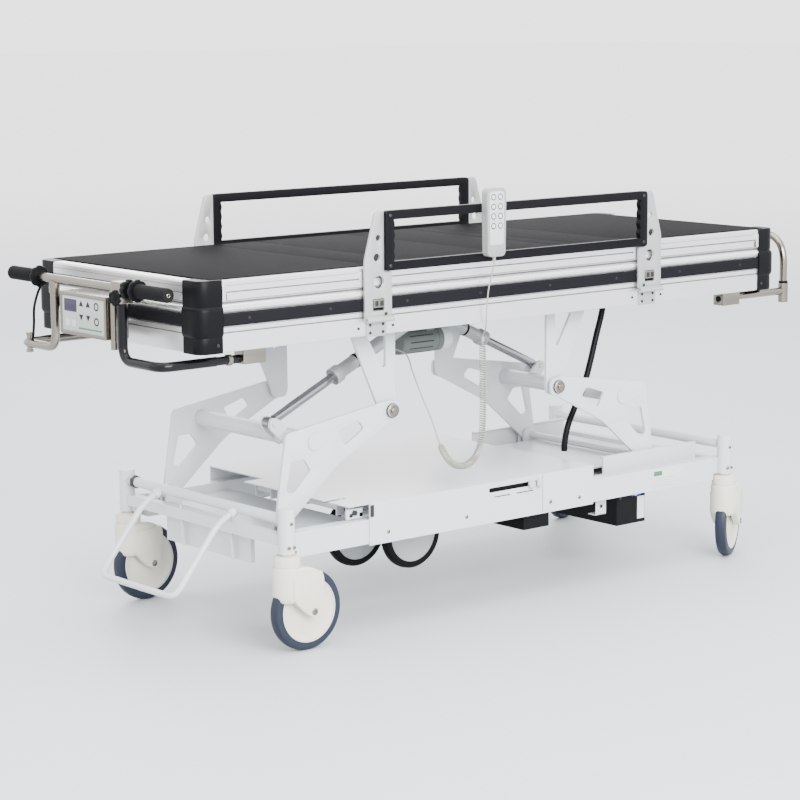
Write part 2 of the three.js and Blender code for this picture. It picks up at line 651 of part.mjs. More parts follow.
// ---------- side rails ----------
function railPlate() {
  const x = (fromMiddle) => RAIL_MID_X - fromMiddle;
  const outline = [
    [x(RAIL_HALF_OUTER), 790], [x(RAIL_HALF_INNER), 790], [x(RAIL_HALF_INNER), RAIL_FRAME_LOW - 3, 2],
    [x(RAIL_HALF_FRAME), RAIL_FRAME_LOW - 3, 2], [x(RAIL_HALF_FRAME), RAIL_TOP, 6],
    [x(RAIL_HALF_FRAME + 26), RAIL_TOP, 16], [x(RAIL_HALF_OUTER), 930, 12],
  ];
  const holes = [{ x: x(467), z: 985, r: 8 }, { x: x(472), z: 938, r: 10 }, { x: x(466), z: 878, r: 16 }];
  const y = [-RAIL_PLATE_Y[1], -RAIL_PLATE_Y[0]];
  return join(
    plateXZ(outline, y, [], holes),
    block([x(RAIL_HALF_OUTER - 3), x(RAIL_HALF_INNER + 3)], [-RAIL_HINGE.y - 2, -RAIL_PLATE_Y[0]], [787, 795]),
    bar([x(RAIL_HALF_OUTER - 3), -RAIL_HINGE.y, RAIL_HINGE.z + 1], [x(RAIL_HALF_INNER + 3), -RAIL_HINGE.y, RAIL_HINGE.z + 1], 5, 14),
  );
}

function railFrame() {
  const reach = RAIL_HALF_FRAME - GAP;
  const left = RAIL_MID_X - reach;
  const right = RAIL_MID_X + reach;
  const grip = 28;
  const barHeight = 22;
  const outline = [
    [left, RAIL_FRAME_LOW, 8], [right, RAIL_FRAME_LOW, 8], [right, RAIL_TOP, 10], [left, RAIL_TOP, 10],
  ];
  const window = [
    [left + grip, RAIL_FRAME_LOW + barHeight, 10], [right - grip, RAIL_FRAME_LOW + barHeight, 10],
    [right - grip, RAIL_TOP - barHeight, 10], [left + grip, RAIL_TOP - barHeight, 10],
  ];
  return plateXZ(outline, [-RAIL_FRAME_Y - 11, -RAIL_FRAME_Y + 11 - 7.5], [window]);
}

const flipAboutRailMiddle = (body) => mirrorX(body).translate([2 * RAIL_MID_X, 0, 0]);
for (const side of ['near', 'far']) {
  const place = side === 'near' ? (body) => body : mirrorY;
  add(deck, `rail_plate_head_${side}`, railAluminium(), place(railPlate()));
  add(deck, `rail_plate_foot_${side}`, railAluminium(), place(flipAboutRailMiddle(railPlate())));
  add(deck, `rail_frame_${side}`, blackPaint(), place(railFrame()));
}

// ---------- handset and its lead ----------
const HANDSET_X = -99;
const HANDSET_LOW = 917;
const HANDSET_HIGH = 1089;
const HANDSET_Y = [-386.6, -364.6];
const LEAD_RADIUS = 2;
const CURL_RADIUS = 8;

function handset() {
  const body = [
    [HANDSET_X - 29, HANDSET_LOW, 14], [HANDSET_X + 29, HANDSET_LOW, 14],
    [HANDSET_X + 32, HANDSET_HIGH, 18], [HANDSET_X - 32, HANDSET_HIGH, 18],
  ];
  const hookBack = RAIL_TOP + GAP + 5;
  return join(
    plateXZ(body, HANDSET_Y),
    block([HANDSET_X - 14, HANDSET_X + 14], [-365, -346], [RAIL_TOP + GAP, hookBack]),
    bar([HANDSET_X, -375.6, HANDSET_LOW + 4], [HANDSET_X, -375.6, HANDSET_LOW - 12], 5, 12, 3),
  );
}
add(deck, 'handset', handsetGrey(), handset());

const LEAD_SPLIT_Z = 790; // the lead turns with the rail above this height
const leadUpper = [
  [HANDSET_X, -375.6, 904.7], [HANDSET_X - 1, -375, 890], [HANDSET_X - 4, -368, 860], [HANDSET_X - 6, -361, 830],
  [HANDSET_X - 7, -357, LEAD_SPLIT_Z],
];
const leadLower = [
  [HANDSET_X - 7, -356.9, LEAD_SPLIT_Z - GAP], [HANDSET_X - 7, -355, 765], [HANDSET_X - 4, -350, 742],
  [HANDSET_X + 6, -336, 726], [HANDSET_X + 17, -318, 716], [HANDSET_X + 20, -310, 708], [HANDSET_X + 20, -310, 698.5],
];
const curl = [
  [-79, -310, 697], [-78.5, -310, 640], [-78, -310, 580], [-78, -310, 520], [-80, -310, 470], [-88, -310, 425],
  [-108, -310, 394], [-140, -310, 380], [-178, -310, 388], [-208, -310, 418], [-226, -310, 450],
];
const boxLead = [
  [-226.9, -310, 452.2], [-231, -309, 464], [-238, -300, 500], [-246, -270, 560], [-236, -220, 620],
  [-200, -150, 655], [-200, -96, 666], [-186, -72, 671], [-163, -63, 672],
];
add(deck, 'handset_lead_upper', leadGrey(), tubeAlong(curveThrough(leadUpper), LEAD_RADIUS, 8, 9));
add(deck, 'handset_lead_lower', leadGrey(), tubeAlong(curveThrough(leadLower), LEAD_RADIUS, 8, 10));
add(deck, 'handset_curl', leadGrey(), tubeAlong(curveThrough(curl), CURL_RADIUS, 8, 22));
add(deck, 'handset_box_lead', leadGrey(), tubeAlong(curveThrough(boxLead), LEAD_RADIUS, 8, 20));

// ---------- supply hose between chassis and deck ----------
const HOSE_RADIUS = 9;
const hose = [
  [372, -140, COVER_TOP + GAP], [374, -140, 355], [386, -140, 400], [414, -140, 452], [446, -140, 506],
  [470, -140, 570], [492, -140, 640], [512, -140, 700], [522, -140, DECK_BOTTOM + 3.7],
];
add(base, 'supply_hose', blackPlastic(), tubeAlong(curveThrough(hose), HOSE_RADIUS, 8, 18));

// ---------- head-end push handle, control panel, foot-end handle ----------
const HANDLE_X = -1060;
const HANDLE_BAR_Z = 892;
const HANDLE_LOW_Z = 722;
const LEG_Y = 147;
const HANDLE_SIDE_Y = 300;
const TUBE_RADIUS = 10.5;
const BAR_END_Y = 209;

const clampBlock = (x, y) => block([x - 33, x + 33], [y - 20, y + 20], [HANDLE_LOW_Z - 12, DECK_BOTTOM - GAP]);

function pushHandle() {
  return join(
    bar([HANDLE_X, -BAR_END_Y, HANDLE_BAR_Z], [HANDLE_X, BAR_END_Y, HANDLE_BAR_Z], TUBE_RADIUS, 20),
    bentTube([
      [HANDLE_X, LEG_Y, HANDLE_BAR_Z], [HANDLE_X, LEG_Y, HANDLE_LOW_Z, 36],
      [HANDLE_X, HANDLE_SIDE_Y, HANDLE_LOW_Z, 36], [-830, HANDLE_SIDE_Y, HANDLE_LOW_Z],
    ], TUBE_RADIUS),
    clampBlock(-805, HANDLE_SIDE_Y),
    bar([HANDLE_X, -112, HANDLE_BAR_Z], [HANDLE_X, -112, 745], 9, 16),
    bar([HANDLE_X, 268, 700], [HANDLE_X, 268, 748], 7, 12),
  );
}

function supportTube() {
  const clamp = cut(
    block([HANDLE_X - 19, HANDLE_X + 19], [-LEG_Y - 20, -LEG_Y + 20], [HANDLE_BAR_Z - 34, HANDLE_BAR_Z + 18]),
    bar([HANDLE_X, -LEG_Y - 30, HANDLE_BAR_Z], [HANDLE_X, -LEG_Y + 30, HANDLE_BAR_Z], TUBE_RADIUS + GAP, 20),
  );
  return join(
    clamp,
    bentTube([
      [HANDLE_X, -LEG_Y, HANDLE_BAR_Z - 30], [HANDLE_X, -LEG_Y, HANDLE_LOW_Z, 36],
      [HANDLE_X, -HANDLE_SIDE_Y, HANDLE_LOW_Z, 36], [-830, -HANDLE_SIDE_Y, HANDLE_LOW_Z],
    ], TUBE_RADIUS + 1),
    clampBlock(-805, -HANDLE_SIDE_Y),
  );
}

function pushGrip() {
  const profile = [[0, 0], [27, 0], [27, 6], [17, 8], [17, 124], [13, 129], [0, 129]];
  return turnedAboutY(profile, [HANDLE_X, BAR_END_Y + GAP, HANDLE_BAR_Z], 16);
}

function controlPanel() {
  const section = [
    [-1075, 766, 8], [-1010, 766, 4], [-1010, 868, 4], [-1075, 868, 8],
  ];
  return join(
    plateXZ(section, [-100, 100]),
    block([-1012, -DECK_HALF_X - 4 - GAP], [-40, 40], [800, 850]),
  );
}

function footHandle() {
  const x = 1075;
  const leg = (side) => join(
    bar([840, side * HANDLE_SIDE_Y, HANDLE_LOW_Z + 8], [x - 8, side * HANDLE_SIDE_Y, HANDLE_LOW_Z + 8], TUBE_RADIUS),
    bar([x, side * HANDLE_SIDE_Y, 698], [x, side * HANDLE_SIDE_Y, 752], 14, 12),
    clampBlock(840, side * HANDLE_SIDE_Y),
  );
  const hoop = bentTube([
    [x, -HANDLE_SIDE_Y, 745], [x, -HANDLE_SIDE_Y, 888, 80], [x, HANDLE_SIDE_Y, 888, 80], [x, HANDLE_SIDE_Y, 745],
  ], TUBE_RADIUS, 8, 50);
  return join(leg(-1), leg(1), hoop);
}

add(deck, 'push_handle', stainless(), pushHandle());
add(deck, 'support_tube_near', blackPlastic(), supportTube());
add(deck, 'push_grip_far', blackRubber(), pushGrip());
add(deck, 'push_grip_near', blackRubber(), mirrorY(pushGrip()));
add(deck, 'control_panel', railAluminium(), controlPanel());
add(deck, 'foot_handle', stainless(), footHandle());

export default trolley;
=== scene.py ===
# Looks of the stretcher trolley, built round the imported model.
# Sizes in the tables below are millimetres, as in the design, and mm() turns them into metres.
# +X runs to the foot end, +Y to the far side, +Z up.
import math

import bmesh
import bpy
from mathutils import Matrix, Vector


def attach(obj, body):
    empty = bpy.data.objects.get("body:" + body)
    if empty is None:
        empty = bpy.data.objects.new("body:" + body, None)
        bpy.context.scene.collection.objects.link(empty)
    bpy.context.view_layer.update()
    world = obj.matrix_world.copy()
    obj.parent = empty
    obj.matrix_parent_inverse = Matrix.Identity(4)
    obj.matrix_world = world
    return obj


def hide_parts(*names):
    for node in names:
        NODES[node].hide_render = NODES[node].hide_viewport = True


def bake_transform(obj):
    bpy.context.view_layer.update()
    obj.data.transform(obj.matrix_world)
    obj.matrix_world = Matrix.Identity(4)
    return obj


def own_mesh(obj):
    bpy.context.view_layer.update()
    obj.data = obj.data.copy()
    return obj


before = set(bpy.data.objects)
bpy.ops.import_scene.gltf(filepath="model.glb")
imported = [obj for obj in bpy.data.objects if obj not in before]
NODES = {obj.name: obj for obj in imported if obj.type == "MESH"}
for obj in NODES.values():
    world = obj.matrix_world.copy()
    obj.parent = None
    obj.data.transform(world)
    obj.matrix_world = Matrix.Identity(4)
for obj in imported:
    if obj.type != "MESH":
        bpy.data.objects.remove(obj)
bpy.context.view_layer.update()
MM = 0.001
X_AXIS = Vector((1, 0, 0))
Y_AXIS = Vector((0, 1, 0))


def mm(x, y, z):
    """A point given in millimetres."""
    return Vector((x, y, z)) * MM


# ---------------------------------------------------------------- camera, floor and light
CAMERA_AT = Vector((-4.2045, -4.9202, 1.5516))
CAMERA_YAW = math.radians(50.13)
CAMERA_PITCH = math.radians(-9.26)
CAMERA_ROLL = math.radians(-0.35)
CAMERA_LENS = 110.4
SENSOR = 36.0


def make_camera():
    data = bpy.data.cameras.new("camera")
    data.lens = CAMERA_LENS
    data.sensor_width = SENSOR
    camera = bpy.data.objects.new("camera", data)
    forward = Vector((
        math.cos(CAMERA_YAW) * math.cos(CAMERA_PITCH),
        math.sin(CAMERA_YAW) * math.cos(CAMERA_PITCH),
        math.sin(CAMERA_PITCH),
    ))
    turn = forward.to_track_quat("-Z", "Y").to_matrix().to_4x4()
    camera.matrix_world = Matrix.Translation(CAMERA_AT) @ turn @ Matrix.Rotation(CAMERA_ROLL, 4, "Z")
    bpy.context.scene.collection.objects.link(camera)
    bpy.context.scene.camera = camera


def area_light(name, at, target, size, power, colour=(1.0, 1.0, 1.0)):
    data = bpy.data.lights.new(name, "AREA")
    data.shape = "RECTANGLE"
    data.size, data.size_y = size
    data.energy = power
    data.color = colour
    light = bpy.data.objects.new(name, data)
    aim_at = (Vector(target) - Vector(at)).to_track_quat("-Z", "Y").to_matrix().to_4x4()
    light.matrix_world = Matrix.Translation(at) @ aim_at
    bpy.context.scene.collection.objects.link(light)


WORLD_COLOUR = (0.985, 0.99, 1.0, 1)
WORLD_STRENGTH = 2.75


def make_studio():
    world = bpy.data.worlds.new("studio")
    bpy.context.scene.world = world
    world.use_nodes = True
    background = world.node_tree.nodes["Background"]
    background.inputs["Color"].default_value = WORLD_COLOUR
    background.inputs["Strength"].default_value = WORLD_STRENGTH
    area_light("top_softbox", (-0.3, -0.4, 4.2), (0, 0, 0.6), (5.0, 4.0), 260)
    area_light("key_softbox", (-1.2, -4.6, 2.6), (0, 0, 0.7), (3.2, 2.0), 560)
    area_light("head_softbox", (-4.6, 0.6, 2.0), (-0.4, 0, 0.6), (2.0, 2.0), 20, (1.0, 0.97, 0.93))
    area_light("rim_softbox", (2.5, 4.0, 2.6), (0, 0, 0.8), (3.0, 2.0), 90)


# ---------------------------------------------------------------- node materials
def material(name, colour, roughness, metallic=0.0, tint=0.04, tint_scale=3.0, grain=600.0, bump=0.05,
             stretch=(1, 1, 1), wear=0.06, coat=0.0, specular=0.5):
    """A procedural surface: a slow colour drift, a fine grain that breaks the gloss, and a bump from the
    grain.
    """
    mat = bpy.data.materials.new(name)
    mat.use_nodes = True
    tree = mat.node_tree
    nodes = tree.nodes
    link = tree.links.new
    shader = nodes["Principled BSDF"]
    shader.inputs["Metallic"].default_value = metallic
    shader.inputs["Coat Weight"].default_value = coat
    shader.inputs["Specular IOR Level"].default_value = specular
    place = nodes.new("ShaderNodeTexCoord")
    mapping = nodes.new("ShaderNodeMapping")
    mapping.inputs["Scale"].default_value = stretch
    link(place.outputs["Object"], mapping.inputs["Vector"])
    drift = nodes.new("ShaderNodeTexNoise")
    drift.inputs["Scale"].default_value = tint_scale
    drift.inputs["Detail"].default_value = 4
    link(place.outputs["Object"], drift.inputs["Vector"])
    fine = nodes.new("ShaderNodeTexNoise")
    fine.inputs["Scale"].default_value = grain
    fine.inputs["Detail"].default_value = 3
    link(mapping.outputs["Vector"], fine.inputs["Vector"])
    ramp = nodes.new("ShaderNodeValToRGB")
    ramp.color_ramp.elements[0].position = 0.3
    ramp.color_ramp.elements[1].position = 0.7
    ramp.color_ramp.elements[0].color = (*[c * (1 - tint) for c in colour], 1)
    ramp.color_ramp.elements[1].color = (*[min(1.0, c * (1 + tint)) for c in colour], 1)
    link(drift.outputs["Fac"], ramp.inputs["Fac"])
    link(ramp.outputs["Color"], shader.inputs["Base Color"])
    gloss = nodes.new("ShaderNodeMapRange")
    gloss.inputs["To Min"].default_value = max(0.02, roughness - wear)
    gloss.inputs["To Max"].default_value = min(1.0, roughness + wear)
    link(fine.outputs["Fac"], gloss.inputs["Value"])
    link(gloss.outputs["Result"], shader.inputs["Roughness"])
    relief = nodes.new("ShaderNodeBump")
    relief.inputs["Strength"].default_value = bump
    relief.inputs["Distance"].default_value = 0.0004
    link(fine.outputs["Fac"], relief.inputs["Height"])
    link(relief.outputs["Normal"], shader.inputs["Normal"])
    return mat


WHITE = (0.55, 0.565, 0.58)
DULL = 0.09  # specular level of the black and dark parts
PAINT = material("white_powder_coat", WHITE, 0.34, tint=0.02, grain=420, bump=0.10, wear=0.05)
BRUSH_X = (3, 260, 260)
BRUSH_Y = (260, 3, 260)
ALUMINIUM = material("anodised_extrusion", (0.80, 0.80, 0.815), 0.33, 0.92, tint=0.03, grain=3, bump=0.14,
                     stretch=BRUSH_X, wear=0.10)
ALUMINIUM_END = material("anodised_extrusion_end", (0.74, 0.74, 0.73), 0.33, 0.92, tint=0.03, grain=3,
                         bump=0.14, stretch=BRUSH_Y, wear=0.10)
RAIL_METAL = material("rail_aluminium", (0.38, 0.385, 0.39), 0.42, 0.45, tint=0.03, grain=900, bump=0.12,
                      wear=0.06)
STEEL = material("polished_stainless", (0.235, 0.212, 0.182), 0.22, 1.0, tint=0.05, tint_scale=8, grain=4,
                 bump=0.05, stretch=(60, 60, 60), wear=0.06)
CHROME = material("actuator_rod", (0.33, 0.33, 0.34), 0.16, 1.0, tint=0.03, grain=5, bump=0.02,
                  stretch=(40, 40, 40), wear=0.04)
DARK_STEEL = material("dark_fastener", (0.045, 0.045, 0.05), 0.35, 0.9, tint=0.1, grain=700, bump=0.1)
BLACK_PLASTIC = material("black_moulding", (0.0026, 0.0029, 0.0036), 0.42, tint=0.15, grain=1500, bump=0.16,
                         wear=0.08, specular=DULL)
BLACK_PAINT = material("black_rail_coat", (0.0028, 0.0028, 0.0040), 0.44, tint=0.12, grain=900, bump=0.12,
                       wear=0.06, specular=DULL)
BLACK_RUBBER = material("black_bumper", (0.0050, 0.0050, 0.0068), 0.60, tint=0.10, grain=900, bump=0.20,
                        wear=0.08, specular=DULL)
GRIP_RUBBER = material("grip_rubber", (0.0050, 0.0050, 0.0054), 0.62, tint=0.18, grain=1300, bump=0.30,
                       wear=0.08, specular=DULL)
SLEEVE = material("glossy_sleeve", (0.0022, 0.0022, 0.0030), 0.18, tint=0.15, grain=300, bump=0.04,
                  wear=0.05, specular=0.22)
CREAM = material("cream_moulding", (0.63, 0.60, 0.515), 0.32, tint=0.02, grain=700, bump=0.06, wear=0.05)
TYRE = material("blue_grey_tread", (0.013, 0.017, 0.030), 0.48, tint=0.12, grain=800, bump=0.15,
                wear=0.08, specular=0.25)
BLACK_TYRE = material("black_tread", (0.0050, 0.0050, 0.0058), 0.42, tint=0.12, grain=800, bump=0.15,
                      wear=0.08, specular=DULL)
MOTOR = material("motor_housing", (0.085, 0.098, 0.088), 0.46, tint=0.05, grain=900, bump=0.15,
                 specular=0.3)
PALE_PLASTIC = material("pale_moulding", (0.46, 0.48, 0.485), 0.38, tint=0.02, grain=900, bump=0.08)
HANDSET = material("handset_moulding", (0.25, 0.262, 0.25), 0.42, tint=0.02, grain=1100, bump=0.10)
BUTTON = material("button_ring", (0.055, 0.065, 0.060), 0.45, tint=0.05, grain=900, bump=0.05, specular=0.3)
LEAD = material("lead_sheath", (0.30, 0.285, 0.25), 0.42, tint=0.05, grain=700, bump=0.10)
HOSE = material("hose_wrap", (0.0045, 0.0045, 0.0060), 0.34, tint=0.15, grain=500, bump=0.10, specular=DULL)
MEMBRANE = material("panel_membrane", (0.36, 0.385, 0.365), 0.40, tint=0.02, grain=800, bump=0.06)
DISPLAY = material("display_window", (0.018, 0.010, 0.040), 0.16, tint=0.10, grain=300, bump=0.02,
                   specular=0.3)
LABEL = material("blank_label", (0.58, 0.59, 0.59), 0.45, tint=0.015, grain=500, bump=0.03)
MARK = material("printed_mark", (0.020, 0.022, 0.026), 0.5, tint=0.05, grain=500, bump=0.02, specular=DULL)
GREEN_MARK = material("green_mark", (0.030, 0.150, 0.080), 0.5, tint=0.05, grain=500, bump=0.02)
BLUE_PLASTIC = material("blue_connector", (0.015, 0.070, 0.260), 0.4, tint=0.05, grain=700, bump=0.08)


def mat_material():
    """Dark ribbed mat: fine ribs along the deck and a slow drift from use."""
    mat = material("deck_mat_weave", (0.0068, 0.0068, 0.0074), 0.74, tint=0.16,
                   tint_scale=2.2, grain=900, bump=0.2, specular=0.02)
    tree = mat.node_tree
    nodes = tree.nodes
    link = tree.links.new
    place = nodes["Texture Coordinate"]
    ribs = nodes.new("ShaderNodeTexWave")
    ribs.bands_direction = "Y"
    ribs.inputs["Scale"].default_value = 95
    ribs.inputs["Distortion"].default_value = 0.4
    link(place.outputs["Object"], ribs.inputs["Vector"])
    relief = nodes.new("ShaderNodeBump")
    relief.inputs["Strength"].default_value = 0.30
    relief.inputs["Distance"].default_value = 0.0005
    link(ribs.outputs["Fac"], relief.inputs["Height"])
    link(nodes["Bump"].outputs["Normal"], relief.inputs["Normal"])
    link(relief.outputs["Normal"], nodes["Principled BSDF"].inputs["Normal"])
    return mat


MAT = mat_material()


# ---------------------------------------------------------------- mesh helpers
# A shape is (points, faces). Helpers return shapes in metres; piece() joins them into one object.
def lathe(profile, steps=56):
    """A body turned about Z from (radius, height) pairs in millimetres, ending on the axis or closed."""
    closed = profile[0] == profile[-1] and profile[0][0] > 0
    rows = profile[:-1] if closed else profile
    points = []
    rings = []
    for radius, height in rows:
        if radius <= 0:
            rings.append([len(points)] * steps)
            points.append(mm(0, 0, height))
            continue
        rings.append([len(points) + k for k in range(steps)])
        for k in range(steps):
            angle = 2 * math.pi * k / steps
            points.append(mm(radius * math.cos(angle), radius * math.sin(angle), height))
    pairs = list(zip(rings, rings[1:]))
    if closed:
        pairs.append((rings[-1], rings[0]))
    faces = []
    for low, high in pairs:
        for k in range(steps):
            n = (k + 1) % steps
            corners = [low[k], low[n], high[n], high[k]]
            unique = list(dict.fromkeys(corners))
            if len(unique) > 2:
                faces.append(unique)
    return points, faces


def sweep(path, radius, sides=20):
    """A round tube along points in metres; radius is millimetres, one value or one for each point."""
    path = [Vector(p) for p in path]
    count = len(path)
    radii = radius if isinstance(radius, (list, tuple)) else [radius] * count
    tangents = []
    for i in range(count):
        tangents.append((path[min(i + 1, count - 1)] - path[max(i - 1, 0)]).normalized())
    side = tangents[0].orthogonal().normalized()
    points = []
    for i, (at, along) in enumerate(zip(path, tangents)):
        side = (side - along * side.dot(along)).normalized()
        other = along.cross(side)
        for k in range(sides):
            angle = 2 * math.pi * k / sides
            points.append(at + (side * math.cos(angle) + other * math.sin(angle)) * radii[i] * MM)
    faces = []
    for i in range(count - 1):
        for k in range(sides):
            n = (k + 1) % sides
            faces.append([i * sides + k, i * sides + n, (i + 1) * sides + n, (i + 1) * sides + k])
    faces.append(list(range(sides))[::-1])
    faces.append([(count - 1) * sides + k for k in range(sides)])
    return points, faces


def bends(corners, steps=10):
    """A route through [x, y, z] or [x, y, z, radius] corners in millimetres, each bend a smooth curve."""
    at = [mm(*c[:3]) for c in corners]
    route = [at[0]]
    for i in range(1, len(at) - 1):
        reach = (corners[i][3] if len(corners[i]) > 3 else 0) * MM
        if reach == 0:
            route.append(at[i])
            continue
        enter = at[i] + (at[i - 1] - at[i]).normalized() * reach
        leave = at[i] + (at[i + 1] - at[i]).normalized() * reach
        for k in range(steps + 1):
            t = k / steps
            route.append(enter * (1 - t) ** 2 + at[i] * 2 * t * (1 - t) + leave * t * t)
    route.append(at[-1])
    return route


def spline(points, spacing=6.0):
    """A smooth curve through points in millimetres (centripetal Catmull-Rom), sampled about every spacing."""
    at = [mm(*p) for p in points]
    at = [at[0] * 2 - at[1], *at, at[-1] * 2 - at[-2]]
    route = []
    for i in range(1, len(at) - 2):
        p = at[i - 1:i + 3]
        knots = [0.0]
        for a, b in zip(p, p[1:]):
            knots.append(knots[-1] + math.sqrt((b - a).length))
        steps = max(2, round((p[2] - p[1]).length / (spacing * MM)))
        for k in range(steps):
            t = knots[1] + (knots[2] - knots[1]) * k / steps
            level = list(p)
            for depth in range(1, 4):
                for j in range(4 - depth):
                    low, high = (knots[j], knots[j + depth]) if depth < 3 else (knots[1], knots[2])
                    if depth == 2:
                        low, high = knots[j], knots[j + 2]
                    share = (t - low) / (high - low)
                    level[j] = level[j] * (1 - share) + level[j + 1] * share
            route.append(level[0])
    route.append(at[-2])
    return route


def path_length(route):
    return sum((b - a).length for a, b in zip(route, route[1:]))


def rounded(points, steps=6):
    """An outline [a, b, radius] in millimetres with its corners rounded."""
    count = len(points)
    outline = []
    for i, point in enumerate(points):
        corner = Vector(point[:2])
        radius = point[2] if len(point) > 2 else 0
        before = Vector(points[i - 1][:2])
        after = Vector(points[(i + 1) % count][:2])
        reach = min(radius, 0.48 * (before - corner).length, 0.48 * (after - corner).length)
        if reach <= 0:
            outline.append(corner)
            continue
        enter = corner + (before - corner).normalized() * reach
        leave = corner + (after - corner).normalized() * reach
        for k in range(steps + 1):
            t = k / steps
            outline.append(enter * (1 - t) ** 2 + corner * 2 * t * (1 - t) + leave * t * t)
    return outline


def circle(centre, radius, steps=28):
    return [Vector(centre) + Vector((math.cos(a), math.sin(a))) * radius
            for a in (2 * math.pi * k / steps for k in range(steps))]


def shape_of(bm):
    bm.verts.index_update()
    shape = [v.co.copy() for v in bm.verts], [[v.index for v in f.verts] for f in bm.faces]
    bm.free()
    return shape


def plate(outline, low, high, holes=(), edge=0.8):
    """A plate from an XY outline with holes, between two heights, its rims eased by edge."""
    bm = bmesh.new()
    rims = []
    for loop in [outline, *holes]:
        ring = [bm.verts.new(mm(p[0], p[1], low)) for p in loop]
        rims += [bm.edges.new((a, b)) for a, b in zip(ring, ring[1:] + ring[:1])]
    bmesh.ops.triangle_fill(bm, use_beauty=True, edges=rims)
    top = bmesh.ops.extrude_face_region(bm, geom=bm.faces[:])
    bmesh.ops.translate(bm, vec=mm(0, 0, high - low),
                        verts=[v for v in top["geom"] if isinstance(v, bmesh.types.BMVert)])
    bmesh.ops.recalc_face_normals(bm, faces=bm.faces[:])
    if edge:
        sharp = [e for e in bm.edges if e.is_manifold and e.calc_face_angle() > math.radians(70)]
        sharp = [e for e in sharp if abs(e.verts[0].co.z - e.verts[1].co.z) < 1e-7]
        bmesh.ops.bevel(bm, geom=sharp, offset=edge * MM, segments=2, profile=0.5, affect="EDGES",
                        clamp_overlap=True)
    return shape_of(bm)


def block(low, high, edge=1.5, segments=3):
    """A block between two corners in millimetres with its edges rounded."""
    bm = bmesh.new()
    bmesh.ops.create_cube(bm, size=1)
    size = [b - a for a, b in zip(low, high)]
    middle = mm(*[(a + b) / 2 for a, b in zip(low, high)])
    bmesh.ops.scale(bm, vec=mm(*size), verts=bm.verts[:])
    bmesh.ops.translate(bm, vec=middle, verts=bm.verts[:])
    if edge:
        bmesh.ops.bevel(bm, geom=bm.edges[:], offset=edge * MM, segments=segments, profile=0.5,
                        affect="EDGES", clamp_overlap=True)
    return shape_of(bm)


def moved(shape, matrix):
    return [matrix @ p for p in shape[0]], shape[1]


def aimed(at, along, spin=0.0):
    """The placement whose Z points along a direction, with its origin at a point in millimetres."""
    turn = Vector(along).to_track_quat("Z", "X").to_matrix().to_4x4()
    return Matrix.Translation(mm(*at)) @ turn @ Matrix.Rotation(spin, 4, "Z")


def upright(at, side=1):
    """A plate's XY laid in the XZ plane, its thickness growing along -Y (side 1) or +Y (side -1)."""
    turn = Matrix(((1, 0, 0, 0), (0, 0, -side, 0), (0, 1, 0, 0), (0, 0, 0, 1)))
    return Matrix.Translation(mm(*at)) @ turn


def mirrored(shape, axis):
    flip = [-1 if k == axis else 1 for k in range(3)]
    points = [Vector([c * f for c, f in zip(p, flip)]) for p in shape[0]]
    return points, [face[::-1] for face in shape[1]]


SMOOTH_ANGLE = math.radians(34)


def piece(name, body, parts, ease=0.0):
    """One object from (shape, material) pairs, riding on a body."""
    bm = bmesh.new()
    mats = []
    for shape, mat in parts:
        if mat not in mats:
            mats.append(mat)
        at = [bm.verts.new(p) for p in shape[0]]
        for corners in shape[1]:
            face = bm.faces.new([at[i] for i in corners])
            face.material_index = mats.index(mat)
    bmesh.ops.recalc_face_normals(bm, faces=bm.faces[:])
    mesh = bpy.data.meshes.new(name)
    bm.to_mesh(mesh)
    bm.free()
    for mat in mats:
        mesh.materials.append(mat)
    mesh.polygons.foreach_set("use_smooth", [True] * len(mesh.polygons))
    mesh.set_sharp_from_angle(angle=SMOOTH_ANGLE)
    obj = bpy.data.objects.new(name, mesh)
    bpy.context.scene.collection.objects.link(obj)
    if ease:
        add_ease(obj, ease)
    if body:
        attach(obj, body)
    return obj


def add_ease(obj, width, angle=38):
    bevel = obj.modifiers.new("ease", "BEVEL")
    bevel.width = width * MM
    bevel.segments = 2
    bevel.limit_method = "ANGLE"
    bevel.angle_limit = math.radians(angle)
    bevel.harden_normals = True


def keep_node(name, mat, ease=0.8):
    """A CAD node that stays as it is, with a finished surface and eased edges."""
    node = NODES[name]
    node.data.materials.clear()
    node.data.materials.append(mat)
    node.data.polygons.foreach_set("use_smooth", [True] * len(node.data.polygons))
    node.data.set_sharp_from_angle(angle=SMOOTH_ANGLE)
    if ease:
        flat = node.modifiers.new("merge_flats", "DECIMATE")
        flat.decimate_type = "DISSOLVE"
        flat.angle_limit = math.radians(0.6)
        add_ease(node, ease)


def screw_head(radius, height, socket=0.5):
    """A domed screw head with a round socket, standing on Z = 0."""
    r, h = radius, height
    return lathe([(0, h * 0.35), (r * socket * 0.8, h * 0.35), (r * socket, h * 0.9), (r * 0.72, h),
                  (r * 0.93, h * 0.72), (r, h * 0.3), (r, -0.4), (0, -0.4)], 20)


def screws(name, body, places, radius, height, mat, socket=0.5):
    """Screw heads at (point, direction) places, as one piece."""
    parts = [(moved(screw_head(radius, height, socket), aimed(at, along)), mat) for at, along in places]
    return piece(name, body, parts)


# ---------------------------------------------------------------- the studio, then the cords
make_camera()
make_studio()
FLOOR = material("studio_floor", (0.50, 0.525, 0.55), 0.55, tint=0.01, tint_scale=0.6, grain=60, bump=0.02)


